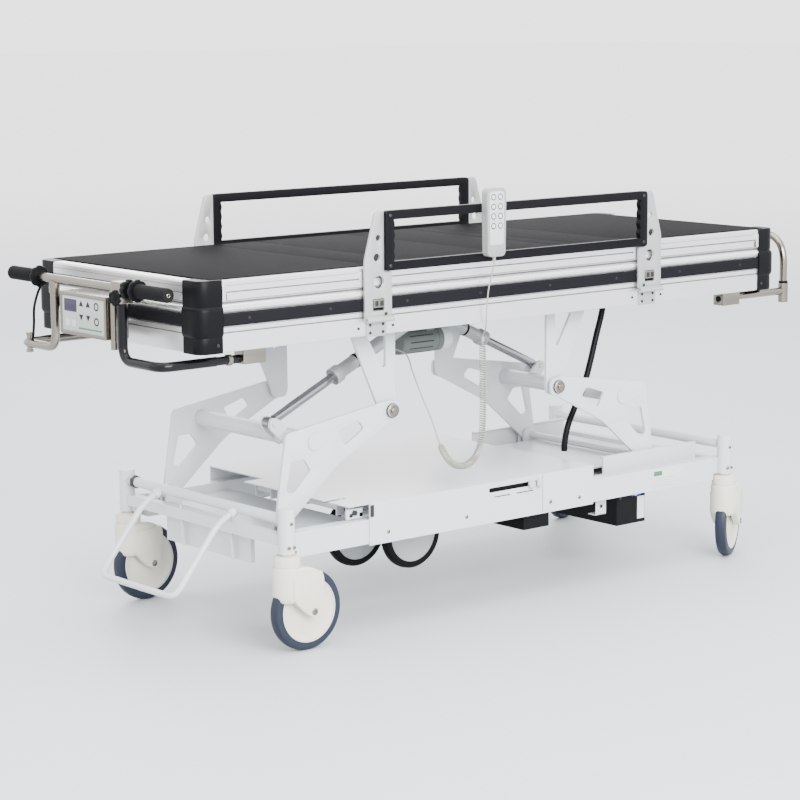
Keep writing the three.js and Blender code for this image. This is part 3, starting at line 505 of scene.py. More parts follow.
def paint_light_on_far_floor():
    """Painted light: the floor's colour brightens towards its far end, so that it meets the background
    without a line.
    """
    nodes = FLOOR.node_tree.nodes
    link = FLOOR.node_tree.links.new
    span = nodes.new("ShaderNodeVectorMath")
    span.operation = "LENGTH"
    link(nodes["Texture Coordinate"].outputs["Object"], span.inputs[0])
    share = nodes.new("ShaderNodeMapRange")
    share.interpolation_type = "SMOOTHSTEP"
    share.inputs["From Min"].default_value = 2.0
    share.inputs["From Max"].default_value = 16.0
    link(span.outputs["Value"], share.inputs["Value"])
    # painted light: the floor's colour blends into the brighter far colour with distance
    mix = nodes.new("ShaderNodeMix")
    mix.data_type = "RGBA"
    link(share.outputs["Result"], mix.inputs["Factor"])
    link(nodes["Color Ramp"].outputs["Color"], mix.inputs["A"])
    mix.inputs["B"].default_value = FAR_FLOOR_PAINTED_LIGHT
    link(mix.outputs["Result"], nodes["Principled BSDF"].inputs["Base Color"])


# Painted light: the far floor's brighter colour stands in for the backdrop's glow.
FAR_FLOOR_PAINTED_LIGHT = (0.93, 0.935, 0.94, 1)


def make_floor():
    paint_light_on_far_floor()
    reach = 60
    mesh = bpy.data.meshes.new("studio_floor")
    corners = [(-reach, -reach, 0), (reach, -reach, 0), (reach, reach, 0), (-reach, reach, 0)]
    mesh.from_pydata(corners, [], [(0, 1, 2, 3)])
    mesh.materials.append(FLOOR)
    floor = bpy.data.objects.new("studio_floor", mesh)
    bpy.context.scene.collection.objects.link(floor)


make_floor()

# The handset's lead: down the rail's fold line, round the deck's side, to a collar under the deck.
LEAD_UPPER = [(-99, -375.6, 904.7), (-100, -375, 890), (-103, -368, 860), (-105, -361, 830),
              (-106, -357, 790)]
LEAD_LOWER = [(-106, -355, 765), (-103, -350, 742), (-93, -336, 726), (-82, -318, 716), (-79, -310, 708),
              (-79, -310, 698.5)]
COLLAR_AT = (-79, -310, 697)
# The curly part hangs from the collar in a long slack J, and its plain end goes on into the lift motor.
CURL = [(-79, -310, 692), (-78.5, -310, 640), (-78, -310, 580), (-78, -310, 520), (-80, -310, 470),
        (-88, -310, 425), (-108, -310, 394), (-140, -310, 380), (-178, -310, 388), (-208, -310, 418),
        (-226, -310, 450)]
BOX_LEAD = [(-231, -309, 464), (-238, -300, 500), (-246, -270, 560), (-236, -220, 620), (-200, -150, 655),
            (-200, -96, 666), (-186, -72, 671), (-163, -63, 672)]
LEAD_DIAMETER = 3.6
CURL_RADIUS = 7.4
CURL_PITCH = 6.0
CURL_STEPS = 14
CURL_EASE = 16
HOSE_DIAMETER = 18
HOSE_ROUTE = [(372, -140, 331), (374, -140, 355), (386, -140, 400), (414, -140, 452), (446, -140, 506),
        (470, -140, 570), (492, -140, 640), (512, -140, 700), (522, -140, 751)]


def curl_route():
    """The curly stretch as a helix round a centre line, its radius opening from and closing to it."""
    line = spline(CURL, 4.0)
    total = path_length(line)
    turns = total / (CURL_PITCH * MM)
    count = int(turns * CURL_STEPS)
    lengths = [0.0]
    for a, b in zip(line, line[1:]):
        lengths.append(lengths[-1] + (b - a).length)
    route = []
    side = Y_AXIS.copy()
    k = 0
    for i in range(count + 1):
        along = total * i / count
        while k < len(line) - 2 and lengths[k + 1] < along:
            k += 1
        share = (along - lengths[k]) / (lengths[k + 1] - lengths[k])
        at = line[k].lerp(line[k + 1], share)
        tangent = (line[min(k + 2, len(line) - 1)] - line[max(k - 1, 0)]).normalized()
        side = (side - tangent * side.dot(tangent)).normalized()
        other = tangent.cross(side)
        angle = 2 * math.pi * turns * i / count
        near_end = min(1.0, along / (CURL_EASE * MM), (total - along) / (CURL_EASE * MM))
        open_up = near_end * near_end * (3 - 2 * near_end)
        route.append(at + (side * math.cos(angle) + other * math.sin(angle)) * CURL_RADIUS * MM * open_up)
    return route


def make_cords():
    lead = spline([*LEAD_UPPER, *LEAD_LOWER], 5.0)
    upper = piece("handset_lead", None, [(sweep(lead, LEAD_DIAMETER / 2, 12), LEAD)])
    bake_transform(upper)
    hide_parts("handset_lead_upper", "handset_lead_lower")
    collar = piece("handset_lead_collar", "deck", [(moved(lathe([
        (0, -6), (3.2, -6), (4.4, -4.5), (5.0, 0), (4.4, 5), (2.6, 9), (1.7, 10), (0, 10)], 24),
        Matrix.Translation(mm(*COLLAR_AT))), LEAD)])
    tuple(lead[0])
    path_length(lead)
    tail = spline([CURL[-1], *BOX_LEAD], 5.0)
    route = [mm(COLLAR_AT[0], COLLAR_AT[1], COLLAR_AT[2] - 4), *curl_route(), *tail[1:]]
    curl = piece("handset_curly_lead", "deck", [(sweep(route, LEAD_DIAMETER / 2, 8), LEAD)])
    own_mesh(curl)
    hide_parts("handset_curl", "handset_box_lead")
    tuple(route[0])
    path_length(route)
    line = spline(HOSE_ROUTE, 4.0)
    ridges = [HOSE_DIAMETER / 2 - 0.9 * (i % 2) for i in range(len(line))]
    hose = piece("supply_hose_wrap", "base", [(sweep(line, ridges, 20), HOSE)])
    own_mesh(hose)
    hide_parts("supply_hose")
    tuple(line[0])
    path_length(line)


make_cords()

# ---------------------------------------------------------------- casters
NEAR, FAR = -1, 1
HEAD_POST_X = -736
FOOT_POST_X = 796
POST_Y = 340.5
CASTERS = {
    "head_near": (HEAD_POST_X, -POST_Y, 0), "head_far": (HEAD_POST_X, POST_Y, 4),
    "foot_near": (FOOT_POST_X, -POST_Y, 30), "foot_far": (FOOT_POST_X, POST_Y, 20),
}
WHEEL_RADIUS = 100
TRAIL = 55


def caster_frame(name):
    x, y, angle = CASTERS[name]
    return Matrix.Translation(mm(x, y, 0)) @ Matrix.Rotation(math.radians(angle), 4, "Z")


def wheel_shapes():
    """Tread, rim band and two faces of a caster wheel, its axle along Z through the origin."""
    half = 16
    tread = lathe([(77, -half + 1.8), (90, -half + 0.4), (95.5, -half + 2), (99.0, -half + 6.5), (100, -4),
                   (100, 4), (99.0, half - 6.5), (95.5, half - 2), (90, half - 0.4), (77, half - 1.8),
                   (77, -half + 1.8)], 96)
    disc = lathe([(0, -13.5), (20, -13.5), (24, -12.2), (56, -10.4), (67, -10.8), (72, -13.2),
                  (75.4, -14.0),
                  (76.8, -13.4), (76.8, 13.4), (75.4, 14.0), (72, 13.2), (67, 10.8), (56, 10.4), (24, 12.2),
                  (20, 13.5), (0, 13.5)], 96)
    bands = []
    for side in (-1, 1):
        band = [(76.9, side * 13.6), (78.6, side * 14.8), (79.4, side * 15.4), (78.6, side * 15.6),
                (77.0, side * 14.8), (76.9, side * 13.6)]
        bands.append(lathe(band, 96))
    return tread, disc, bands


def make_wheel(name):
    place = caster_frame(name) @ aimed((TRAIL, 0, WHEEL_RADIUS), (0, 1, 0))
    tread, disc, bands = wheel_shapes()
    caps = []
    for side in (-1, 1):
        hub = lathe([(0, 13), (16, 13), (18, 14.5), (17, 17.2), (12, 18.6), (0, 18.6)], 40)
        caps.append((moved(hub, place @ (Matrix.Rotation(math.pi, 4, "X") if side < 0 else Matrix())),
                     CREAM))
    parts = [(moved(tread, place), TYRE), (moved(disc, place), CREAM)]
    parts += [(moved(band, place), LABEL) for band in bands]
    tyre = piece("caster_tyre_" + name, "wheel_" + name, parts + caps)
    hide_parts("caster_wheel_" + name)


CHEEK = [(-6, 190), (-6, 136, 10), (16, 112, 14), (40, 92, 16), (58, 85, 10), (69, 96, 12), (74, 118, 16),
         (84, 160, 20), (84, 182, 10), (78, 198)]


HOUSING_HALF = 37.4  # from the wheel's middle plane to the outer face of a cheek
CHEEK_THICKNESS = 16
HOOD_HALF = 36.0
HOOD_TOP = 213.0


def hood_section(share):
    """Half width and top height of the hood at a share of its length.

    It is full over the stem and falls at the rear.
    """
    fall = max(0.0, (share - 0.55) / 0.45)
    return HOOD_HALF - 5.0 * fall ** 2, HOOD_TOP - 17.0 * fall ** 2


def hood():
    """The shell over the wheel: an arched strip from the stem's front to the rear lip."""
    bm = bmesh.new()
    rows = []
    steps = 24
    for i in range(steps + 1):
        share = i / steps
        x = -35.6 + share * (78 + 35.6)
        nose = max(0.0, -x) / 36.0
        half, top = hood_section(share)
        half *= math.sqrt(max(0.02, 1 - nose ** 2))
        low = 166.0
        ring = []
        for y, z in rounded([(-half, low), (-half, top, 7), (half, top, 7), (half, low)], 5):
            ring.append(bm.verts.new(mm(x, y, z)))
        rows.append(ring)
    for a, b in zip(rows, rows[1:]):
        for k in range(len(a) - 1):
            bm.faces.new([a[k], a[k + 1], b[k + 1], b[k]])
        bm.faces.new([a[-1], a[0], b[0], b[-1]])
    bm.faces.new(rows[0])
    bm.faces.new(rows[-1][::-1])
    bmesh.ops.recalc_face_normals(bm, faces=bm.faces[:])
    return shape_of(bm)


def make_fork(name):
    place = caster_frame(name)
    stem = lathe([(0, 128), (30, 128), (34, 132), (35.8, 140), (35.8, 210), (34.6, 212.6), (31.5, 213.2),
                  (31.5, 215.2), (32.6, 216), (32.9, 219), (32.9, 235), (32.0, 238.2), (28.5, 239.0),
                  (28.5, 240.6), (15, 240.6), (14, 241.2), (14, 244.7), (0, 244.7)], 56)
    parts = [(moved(stem, place), CREAM), (moved(hood(), place), CREAM)]
    for side in (NEAR, FAR):
        y = HOUSING_HALF if side == FAR else CHEEK_THICKNESS - HOUSING_HALF
        cheek = plate(rounded(CHEEK), 0, CHEEK_THICKNESS, edge=3.0)
        parts.append((moved(cheek, place @ upright((0, y, 0))), CREAM))
        axle = lathe([(0, 0), (8.5, 0), (8.5, 1.6), (7.2, 2.4), (4.2, 2.4), (3.9, 1.2), (0, 1.2)], 24)
        parts.append((moved(axle, place @ aimed((TRAIL, side * (HOUSING_HALF - 0.4), WHEEL_RADIUS),
                                                (0, side, 0))), STEEL))
    fork = piece("caster_housing_" + name, "fork_" + name, parts)
    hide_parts("caster_fork_" + name)


for caster in CASTERS:
    make_wheel(caster)
    make_fork(caster)

# ---------------------------------------------------------------- base
for kept in ("base_frame", "deck_subframe"):
    keep_node(kept, PAINT, 1.0)
keep_node("base_cover", PAINT, 2.2)
keep_node("slider_carriage", PAINT)
keep_node("fifth_wheel_arm", PAINT)
keep_node("battery_box", BLACK_PLASTIC, 2.0)
keep_node("electronics_box", BLACK_PLASTIC, 1.5)
COVER_HALF_WIDTH = 337
ROUND_BAR_Z = 325


def both_sides(places):
    """The given near-side (point, direction) places with their mirror images on the far side."""
    mirror = [((x, -y, z), (a, -b, c)) for (x, y, z), (a, b, c) in places]
    return [*places, *mirror]


def make_posts():
    parts = []
    bolts = []
    for x, y, _ in CASTERS.values():
        side = 1 if y > 0 else -1
        post = lathe([(0, 245.5), (18.6, 245.5), (20.3, 247), (20.3, 351), (18.8, 353.2), (0, 353.2)], 48)
        parts.append((moved(post, Matrix.Translation(mm(x, y, 0))), PAINT))
        for bolt_x, bolt_z in ((-7, 262), (8, 262), (0, 320)):
            bolts.append(((x + bolt_x, y + side * 19.6, bolt_z), (0, side, 0)))
    piece("caster_posts", "base", parts)
    screws("post_bolts", "base", bolts, 4.6, 3.0, STEEL, 0.55)
    bar = sweep([mm(FOOT_POST_X, -322, ROUND_BAR_Z), mm(FOOT_POST_X, 322, ROUND_BAR_Z)], 12.3, 32)
    piece("foot_round_bar", "base", [(bar, PAINT)])


def make_cover_details():
    side = -COVER_HALF_WIDTH
    seam = [(block((106.4, side - 0.35, 228), (107.6, side + 2, 328), 0.2), MARK)]
    for low, high in ((-64, -8), (14, 73)):
        seam.append((block((low, side - 0.5, 290), (high, side + 2, 292.6), 0.4), MARK))
    seam.append((block((-488, side + 24, 296), (-478, side + 36, 306), 1.0), BLACK_PLASTIC))
    piece("cover_seams", "base", seam)
    screws("cover_screws", "base", both_sides([
        ((-416, side, 252), (0, -1, 0)), ((-158, side, 253), (0, -1, 0)), ((135, side, 252), (0, -1, 0)),
        ((240, side, 250), (0, -1, 0))]), 5.0, 2.2, STEEL, 0.5)
    knob = lathe([(0, 0), (7, 0), (7, 4), (10, 5), (11, 7), (11, 10.6), (9.6, 12), (3.4, 12.4), (3, 11.2),
                  (0, 11.2)], 32)
    knobs = [(moved(knob, aimed((x, side, 310), (0, -1, 0))), PALE_PLASTIC) for x in (62, 90)]
    piece("cover_knobs", "base", knobs)
    label = [(block((520, -334.2, 235), (640, -332.6, 285), 0.4), LABEL)]
    label.append((block((524, -334.4, 268), (556, -333.6, 281), 0.2), GREEN_MARK))
    for row in range(4):
        z = 262 - 7 * row
        label.append((block((524, -334.4, z - 2.4), (604 - 14 * (row % 2), -333.6, z), 0.2), PALE_PLASTIC))
    piece("blank_plate", "base", label)


def make_box_details():
    parts = [(block((496, -300.2, 150), (524, -298.4, 212), 0.4), LABEL)]
    for x, mat in ((471, BLUE_PLASTIC), (483, LABEL), (495, BLUE_PLASTIC)):
        parts.append((block((x, -303, 216), (x + 10, -297, 226), 0.8), mat))
    piece("box_connectors", "base", parts)
    bracket = [(block((338, -300, 180), (376, -297.5, 228), 0.6), PAINT)]
    bracket.append((block((338, -300, 180), (376, -270, 182.6), 0.6), PAINT))
    bracket.append((block((-530, -312, 292), (-478, -309, 318), 0.8), PAINT))
    piece("side_brackets", "base", bracket)
    screws("bracket_screws", "base", [
        ((357, -300, 204), (0, -1, 0)), ((-515, -312, 302), (0, -1, 0)), ((88, -299, 216), (0, -1, 0)),
        ((152, -299, 216), (0, -1, 0)), ((430, -299, 216), (0, -1, 0))], 5.0, 3.0, DARK_STEEL, 0.5)


make_posts()
make_cover_details()
make_box_details()

# ---------------------------------------------------------------- brake bar and steering wheels
BRAKE_X = HEAD_POST_X
BRAKE_Z = 326
PEDAL = [[-736, 178, 326], [-796, 178, 296, 30], [-928, 178, 131, 34], [-928, -146, 131, 34],
         [-796, -146, 296, 30], [-736, -146, 326]]


def make_brake():
    parts = [(sweep([mm(BRAKE_X, -318, BRAKE_Z), mm(BRAKE_X, 318, BRAKE_Z)], 13, 36), PAINT)]
    parts.append((sweep(bends(PEDAL, 12), 8, 24), PAINT))
    for y in (-146, 178):
        collar = lathe([(8.1, -9), (11.0, -9), (12.5, -6), (12.5, 6), (11.0, 9), (8.1, 9), (8.1, -9)], 28)
        parts.append((moved(collar, aimed((-754, y, 317), (-2, 0, -1))), PAINT))
    clamp = circle((0, 0), 17.5, 6)
    parts.append((moved(plate(clamp, -7, 7, edge=1.5), aimed((BRAKE_X, 300, BRAKE_Z), (0, 1, 0))),
                  DARK_STEEL))
    bar = piece("brake_pedal_bar", "brake", parts)
    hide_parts("brake_bar")


def make_fifth_wheel(name, x, y):
    place = aimed((x, y, 160), (0, 1, 0))
    tyre = lathe([(76, -13.5), (86, -14.9), (91, -13), (94.2, -8), (95, 0), (94.2, 8), (91, 13),
                  (86, 14.9), (76, 13.5), (76, -13.5)], 80)
    hub = lathe([(0, -14.4), (22, -14.4), (25, -11), (66, -7.6), (70, -9.5), (74, -12), (76, -12),
                 (76, 12), (74, 12), (70, 9.5), (66, 7.6), (25, 11), (22, 14.4), (0, 14.4)], 80)
    wheel = piece("steering_wheel_" + name, "fifth_" + name, [
        (moved(tyre, place), BLACK_TYRE), (moved(hub, place), PALE_PLASTIC)])
    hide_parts("fifth_wheel_" + name)


make_brake()
make_fifth_wheel("near", -110, -57)
make_fifth_wheel("far", -206, 57)

# ---------------------------------------------------------------- lift arms and actuators
HEAD_PIVOT = (-670, 303)
FOOT_PIVOT = (591, 303)
ARM_Y = 240
ARM_HALF = 4
ARM_OUTLINE = [(-22, 2, 14), (6, 178, 6), (10, 210, 30), (330, 258, 8), (369, 254, 20), (369, 212, 22),
               (338, 203, 10), (172, 118, 24), (24, -8, 10), (2, -24, 16), (-24, -16, 14)]
ARM_WINDOWS = [[(170, 199, 8), (236, 219, 10), (255, 196, 10), (192, 160, 8)],
               [(26, 142, 8), (64, 142, 8), (86, 112, 8), (30, 60, 8), (8, 68, 8)]]
CROSS_TUBE = (98, 181)
LEVER_PIN = (53, 218)
LINK = (343, 232)
ACTUATOR_SLOPE = math.radians(25)


def end_frame(end):
    """Places an end's linkage: local X runs towards the deck's middle from the base pivot."""
    x, z = HEAD_PIVOT if end == "head" else FOOT_PIVOT
    flip = Matrix.Scale(-1, 4, X_AXIS) if end == "foot" else Matrix()
    return Matrix.Translation(mm(x, 0, z)) @ flip


def make_arm(end, side):
    where = "near" if side == NEAR else "far"
    place = end_frame(end)
    start = side * ARM_Y + ARM_HALF
    holes = [rounded(window, 8) for window in ARM_WINDOWS]
    sheet = plate(rounded(ARM_OUTLINE, 8), 0, 2 * ARM_HALF, holes, 1.2)
    parts = [(moved(sheet, place @ upright((0, start, 0))), PAINT)]
    outer = side * (ARM_Y + ARM_HALF)
    disc = lathe([(0, 0), (21, 0), (21.6, 1.2), (21.6, 2.8), (20.8, 3.4), (0, 3.4)], 48)
    parts.append((moved(disc, place @ aimed((CROSS_TUBE[0], outer, CROSS_TUBE[1]), (0, side, 0))), PAINT))
    arm = piece(f"{end}_arm_plate_{where}", f"{end}_arms", parts)
    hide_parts(f"{end}_arm_{where}")


def make_pivot_caps(end):
    caps = []
    cap = lathe([(0, 0), (16.6, 0), (16.6, 1.0), (15.4, 1.8), (12.6, 1.8), (12.2, 1.2), (8.6, 1.2),
                 (8.0, 3.6), (6.8, 4.4), (0, 4.4)], 40)
    for side in (NEAR, FAR):
        place = end_frame(end) @ aimed((LINK[0], side * 253.8, LINK[1]), (0, side, 0))
        caps.append((moved(cap, place), STEEL))
        washer = lathe([(16.9, -6.5), (18.6, -6.5), (18.6, -4.2), (16.9, -4.2), (16.9, -6.5)], 40)
        caps.append((moved(washer, place), DARK_STEEL))
    piece(f"{end}_bracket_pins", "deck", caps)


def make_actuator(end, y):
    slope = Matrix.Rotation(-ACTUATOR_SLOPE, 4, "Y")
    place = end_frame(end) @ Matrix.Translation(mm(LEVER_PIN[0], y, LEVER_PIN[1])) @ slope
    along = place @ aimed((0, 0, 0), (1, 0, 0))
    rod = lathe([(0, 16), (12, 16), (12, 221), (0, 221)], 40)
    piece(f"{end}_polished_rod", f"{end}_rod", [(moved(rod, along), CHROME)])
    tube = lathe([(10.5, 221), (21.4, 221), (23, 222.6), (23, 243.4), (21.6, 245), (18.1, 245.6),
                  (18.1, 529), (16, 531), (8, 531.4), (8, 559.8), (0, 559.8)], 48)
    ring = lathe([(18.0, 300), (19.2, 300), (19.2, 306), (18.0, 306), (18.0, 300)], 48)
    piece(f"{end}_ram_tube", f"{end}_tube", [
        (moved(tube, along), RAIL_METAL), (moved(ring, along), BLACK_PLASTIC)])


for end, y in (("head", -120), ("foot", 150)):
    for side in (NEAR, FAR):
        make_arm(end, side)
    make_pivot_caps(end)
    keep_node(f"{end}_cross_tube", PAINT)
    make_actuator(end, y)
    keep_node(f"{end}_actuator_rod", CHROME, 0.3)
    keep_node(f"{end}_actuator_tube", RAIL_METAL, 0.4)

# ---------------------------------------------------------------- deck
DECK_HALF_X = 980
DECK_HALF_Y = 344.5
POST_FOOTPRINT = 64
PROFILE_DEPTH = 32
for side in ("near", "far"):
    keep_node("side_profile_" + side, ALUMINIUM, 0.5)
    keep_node("bumper_" + side, BLACK_RUBBER, 0.8)
for side in ("head", "foot"):
    keep_node("end_profile_" + side, ALUMINIUM_END, 0.5)
    keep_node("bumper_" + side, BLACK_RUBBER, 0.8)
# Corner buffer: (height, swell beyond the deck's outline)
BUFFER_LEVELS = [(747, 1), (749, 2), (783, 2), (785, 1.2), (787, 2.2), (792, 5), (797, 6), (846, 6),
                 (852, 5), (855, 2.6), (856.5, 1.2), (858.5, 1.2), (860, 2), (915, 2), (918, 0.6)]


def loft(rings):
    """A closed body through loops of equal count, each a list of points in metres."""
    count = len(rings[0])
    points = [p for ring in rings for p in ring]
    faces = []
    for i in range(len(rings) - 1):
        for k in range(count):
            n = (k + 1) % count
            faces.append([i * count + k, i * count + n, (i + 1) * count + n, (i + 1) * count + k])
    faces.append(list(range(count))[::-1])
    faces.append([(len(rings) - 1) * count + k for k in range(count)])
    return points, faces


def corner_buffer():
    rings = []
    for z, swell in BUFFER_LEVELS:
        x, y = -DECK_HALF_X - swell, -DECK_HALF_Y - swell
        inner_x, inner_y = -DECK_HALF_X + PROFILE_DEPTH, -DECK_HALF_Y + PROFILE_DEPTH
        end_x, end_y = -DECK_HALF_X + POST_FOOTPRINT, -DECK_HALF_Y + POST_FOOTPRINT
        outline = rounded([(x, y, 46), (end_x, y), (end_x, inner_y), (inner_x, inner_y), (inner_x, end_y),
                           (x, end_y)], 14)
        rings.append([mm(p[0], p[1], z) for p in outline])
    return loft(rings)


def make_buffers():
    for end in ("head", "foot"):
        for where in ("near", "far"):
            shape = corner_buffer()
            screw = moved(screw_head(4.2, 2.2),
                          aimed((-DECK_HALF_X + 50, -DECK_HALF_Y - 1.8, 766), (0, -1, 0)))
            parts = [(shape, BLACK_PLASTIC), (screw, DARK_STEEL)]
            if end == "foot":
                parts = [(mirrored(s, 0), m) for s, m in parts]
            if where == "far":
                parts = [(mirrored(s, 1), m) for s, m in parts]
            buffer = piece(f"corner_buffer_{end}_{where}", "deck", parts)
            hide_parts(f"corner_post_{end}_{where}")


MAT_SEAMS = [-458, -315, -15, 200, 262, 441]
MAT_HALF = (944, 311.5)
MAT_Z = (892.3, 908)
MAT_OVERLAP = 336
MAT_CROWN = 919.4


def make_deck_mat():
    edges = [-MAT_HALF[0], *MAT_SEAMS, MAT_HALF[0]]
    parts = []
    for low, high in zip(edges, edges[1:]):
        parts.append((block((low + 0.5, -MAT_HALF[1], MAT_Z[0]), (high - 0.5, MAT_HALF[1], MAT_Z[1]), 2.2,
                            4), MAT))
    parts.append((block((-MAT_HALF[0] + 1, -MAT_HALF[1] + 1, MAT_Z[0]),
                        (MAT_HALF[0] - 1, MAT_HALF[1] - 1, 904), 0.5), MAT))
    for low, high in zip(edges, edges[1:]):
        top = block((low + 0.4, -MAT_OVERLAP, MAT_Z[1] - 2), (high - 0.4, MAT_OVERLAP, MAT_CROWN), 1.6, 4)
        parts.append((top, MAT))
    mat = piece("ribbed_mat", "deck", parts)
    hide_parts("deck_mat")


make_buffers()
make_deck_mat()


def make_deck_trim():
    """End caps on the side extrusion's upper panel, bumper screws and the rail's hinge leaves."""
    caps = []
    leaves = []
    leaf_screws = []
    dark_screws = []
    for side in (NEAR, FAR):
        y = side * DECK_HALF_Y
        for x in (-908, 908):
            caps.append((moved(plate(rounded([(x - 6, 869, 4), (x + 6, 869, 4), (x + 6, 886, 4),
                                              (x - 6, 886, 4)]), 0, 1.6),
                               upright((0, y + (0 if side == NEAR else 1.6), 0))), BLACK_PLASTIC))
        for direction in (-1, 1):
            x = 9.5 + direction * 467.5
            low, high = sorted((y - side * 1, y + side * 3.2))
            leaves.append((block((x - 31, low, 745), (x + 31, high, 783), 1.0), RAIL_METAL))
            for dx, z in ((-20, 774), (20, 774), (-20, 755), (20, 755)):
                leaf_screws.append(((x + dx, y + side * 3.2, z), (0, side, 0)))
            for dx in (-54, 54):
                dark_screws.append(((x + dx, y, 768), (0, side, 0)))
    piece("side_end_caps", "deck", caps)
    piece("rail_hinge_leaves", "deck", leaves)
    screws("hinge_leaf_screws", "deck", leaf_screws, 4.0, 2.0, DARK_STEEL)
    screws("hinge_side_screws", "deck", dark_screws, 3.6, 2.0, DARK_STEEL)
    bumper_screws = [((x, -348.2, 824.5), (0, -1, 0)) for x in range(-840, 880, 240)]
    screws("bumper_screws", "deck", both_sides(bumper_screws), 3.4, 0.7, DARK_STEEL)


make_deck_trim()

# ---------------------------------------------------------------- side rails
RAIL_MIDDLE = 9.5
RAIL_PLATE = [(509.5, 790), (425.5, 790), (425.5, 901, 2), (449.5, 901, 2), (449.5, 1050, 6),
              (475.5, 1050, 16), (509.5, 930, 12)]
RAIL_PLATE_HOLES = [((467, 985), 8), ((472, 938), 10), ((466, 878), 16)]
FRAME_HALF = 449.2
FRAME_LOW = 904
FRAME_HIGH = 1050
BAR_DEPTH = 22
GRIP_DEPTH = 28


def from_middle(point, direction):
    return (RAIL_MIDDLE + direction * point[0], *point[1:])


def make_rail_plate(end, where):
    """One end plate of a side rail, with its hinge barrel, spacer block and latch window."""
    direction = -1 if end == "head" else 1
    outline = rounded([from_middle(p, direction) for p in RAIL_PLATE], 8)
    holes = [circle(from_middle(c, direction), r, 36) for c, r in RAIL_PLATE_HOLES]
    latch_x = RAIL_MIDDLE + direction * 467
    slot_outline = rounded([(latch_x - 18, 808, 3), (latch_x + 18, 808, 3), (latch_x + 18, 838, 3),
                            (latch_x - 18, 838, 3)], 5)
    parts = [(moved(plate(outline, 0, 6, [*holes, slot_outline], 0.9), upright((0, -350, 0))), RAIL_METAL)]
    parts.append((block((latch_x - 41.5, -365, 787), (latch_x + 41.5, -350, 795), 1.0), RAIL_METAL))
    barrel = sweep([mm(latch_x - 41.5, -363, 786), mm(latch_x + 41.5, -363, 786)], 5.2, 24)
    parts.append((barrel, RAIL_METAL))
    latch = block((latch_x - 17, -358.6, 816), (latch_x + 17, -351.6, 837), 1.6)
    parts.append((latch, STEEL))
    for dx in (-8, 8):
        parts.append((block((latch_x + dx - 5, -359.2, 820), (latch_x + dx + 5, -358, 833), 0.4),
                      DARK_STEEL))
    nub = moved(lathe([(0, 0), (4, 0), (4, 2.4), (3, 3.2), (0, 3.2)], 24),
                aimed((latch_x - direction * 22, -356, 800), (0, -1, 0)))
    parts.append((nub, DARK_STEEL))
    if where == "far":
        parts = [(mirrored(s, 1), m) for s, m in parts]
    sheet = piece(f"rail_end_plate_{end}_{where}", "rail_" + where, parts)
    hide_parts(f"rail_plate_{end}_{where}")


def grip_edge(x, direction, low, high):
    """The finger-grip inner edge of a side grip, from low to high: four shallow waves."""
    steps = 40
    edge = []
    for k in range(steps + 1):
        share = k / steps
        wave = 2.6 * (1 - math.cos(8 * math.pi * share)) / 2
        edge.append(Vector((x - direction * wave, low + (high - low) * share)))
    return edge


def make_rail_frame(where):
    outer = rounded([(RAIL_MIDDLE - FRAME_HALF, FRAME_LOW, 8), (RAIL_MIDDLE + FRAME_HALF, FRAME_LOW, 8),
                     (RAIL_MIDDLE + FRAME_HALF, FRAME_HIGH, 12),
                     (RAIL_MIDDLE - FRAME_HALF, FRAME_HIGH, 12)], 8)
    low, high = FRAME_LOW + BAR_DEPTH, FRAME_HIGH - BAR_DEPTH
    reach = FRAME_HALF - GRIP_DEPTH
    right = grip_edge(RAIL_MIDDLE + reach + 2.6, 1, low, high)
    left = grip_edge(RAIL_MIDDLE - reach - 2.6, -1, low, high)
    window = [*right, *reversed(left)]
    body = plate(outer, 0, 14.5, [window], 3.2)
    parts = [(moved(body, upright((0, -349.5, 0))), BLACK_PAINT)]
    for x in (RAIL_MIDDLE - FRAME_HALF + 14, RAIL_MIDDLE + FRAME_HALF - 14):
        for z in (FRAME_LOW + 12, FRAME_HIGH - 12):
            parts.append((moved(screw_head(4.4, 1.6), aimed((x, -364, z), (0, -1, 0))), DARK_STEEL))
    if where == "far":
        parts = [(mirrored(s, 1), m) for s, m in parts]
    frame_piece = piece("rail_black_frame_" + where, "rail_" + where, parts)
    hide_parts("rail_frame_" + where)


for where in ("near", "far"):
    make_rail_frame(where)
    for end in ("head", "foot"):
        make_rail_plate(end, where)

# ---------------------------------------------------------------- handset
HANDSET_X = -99


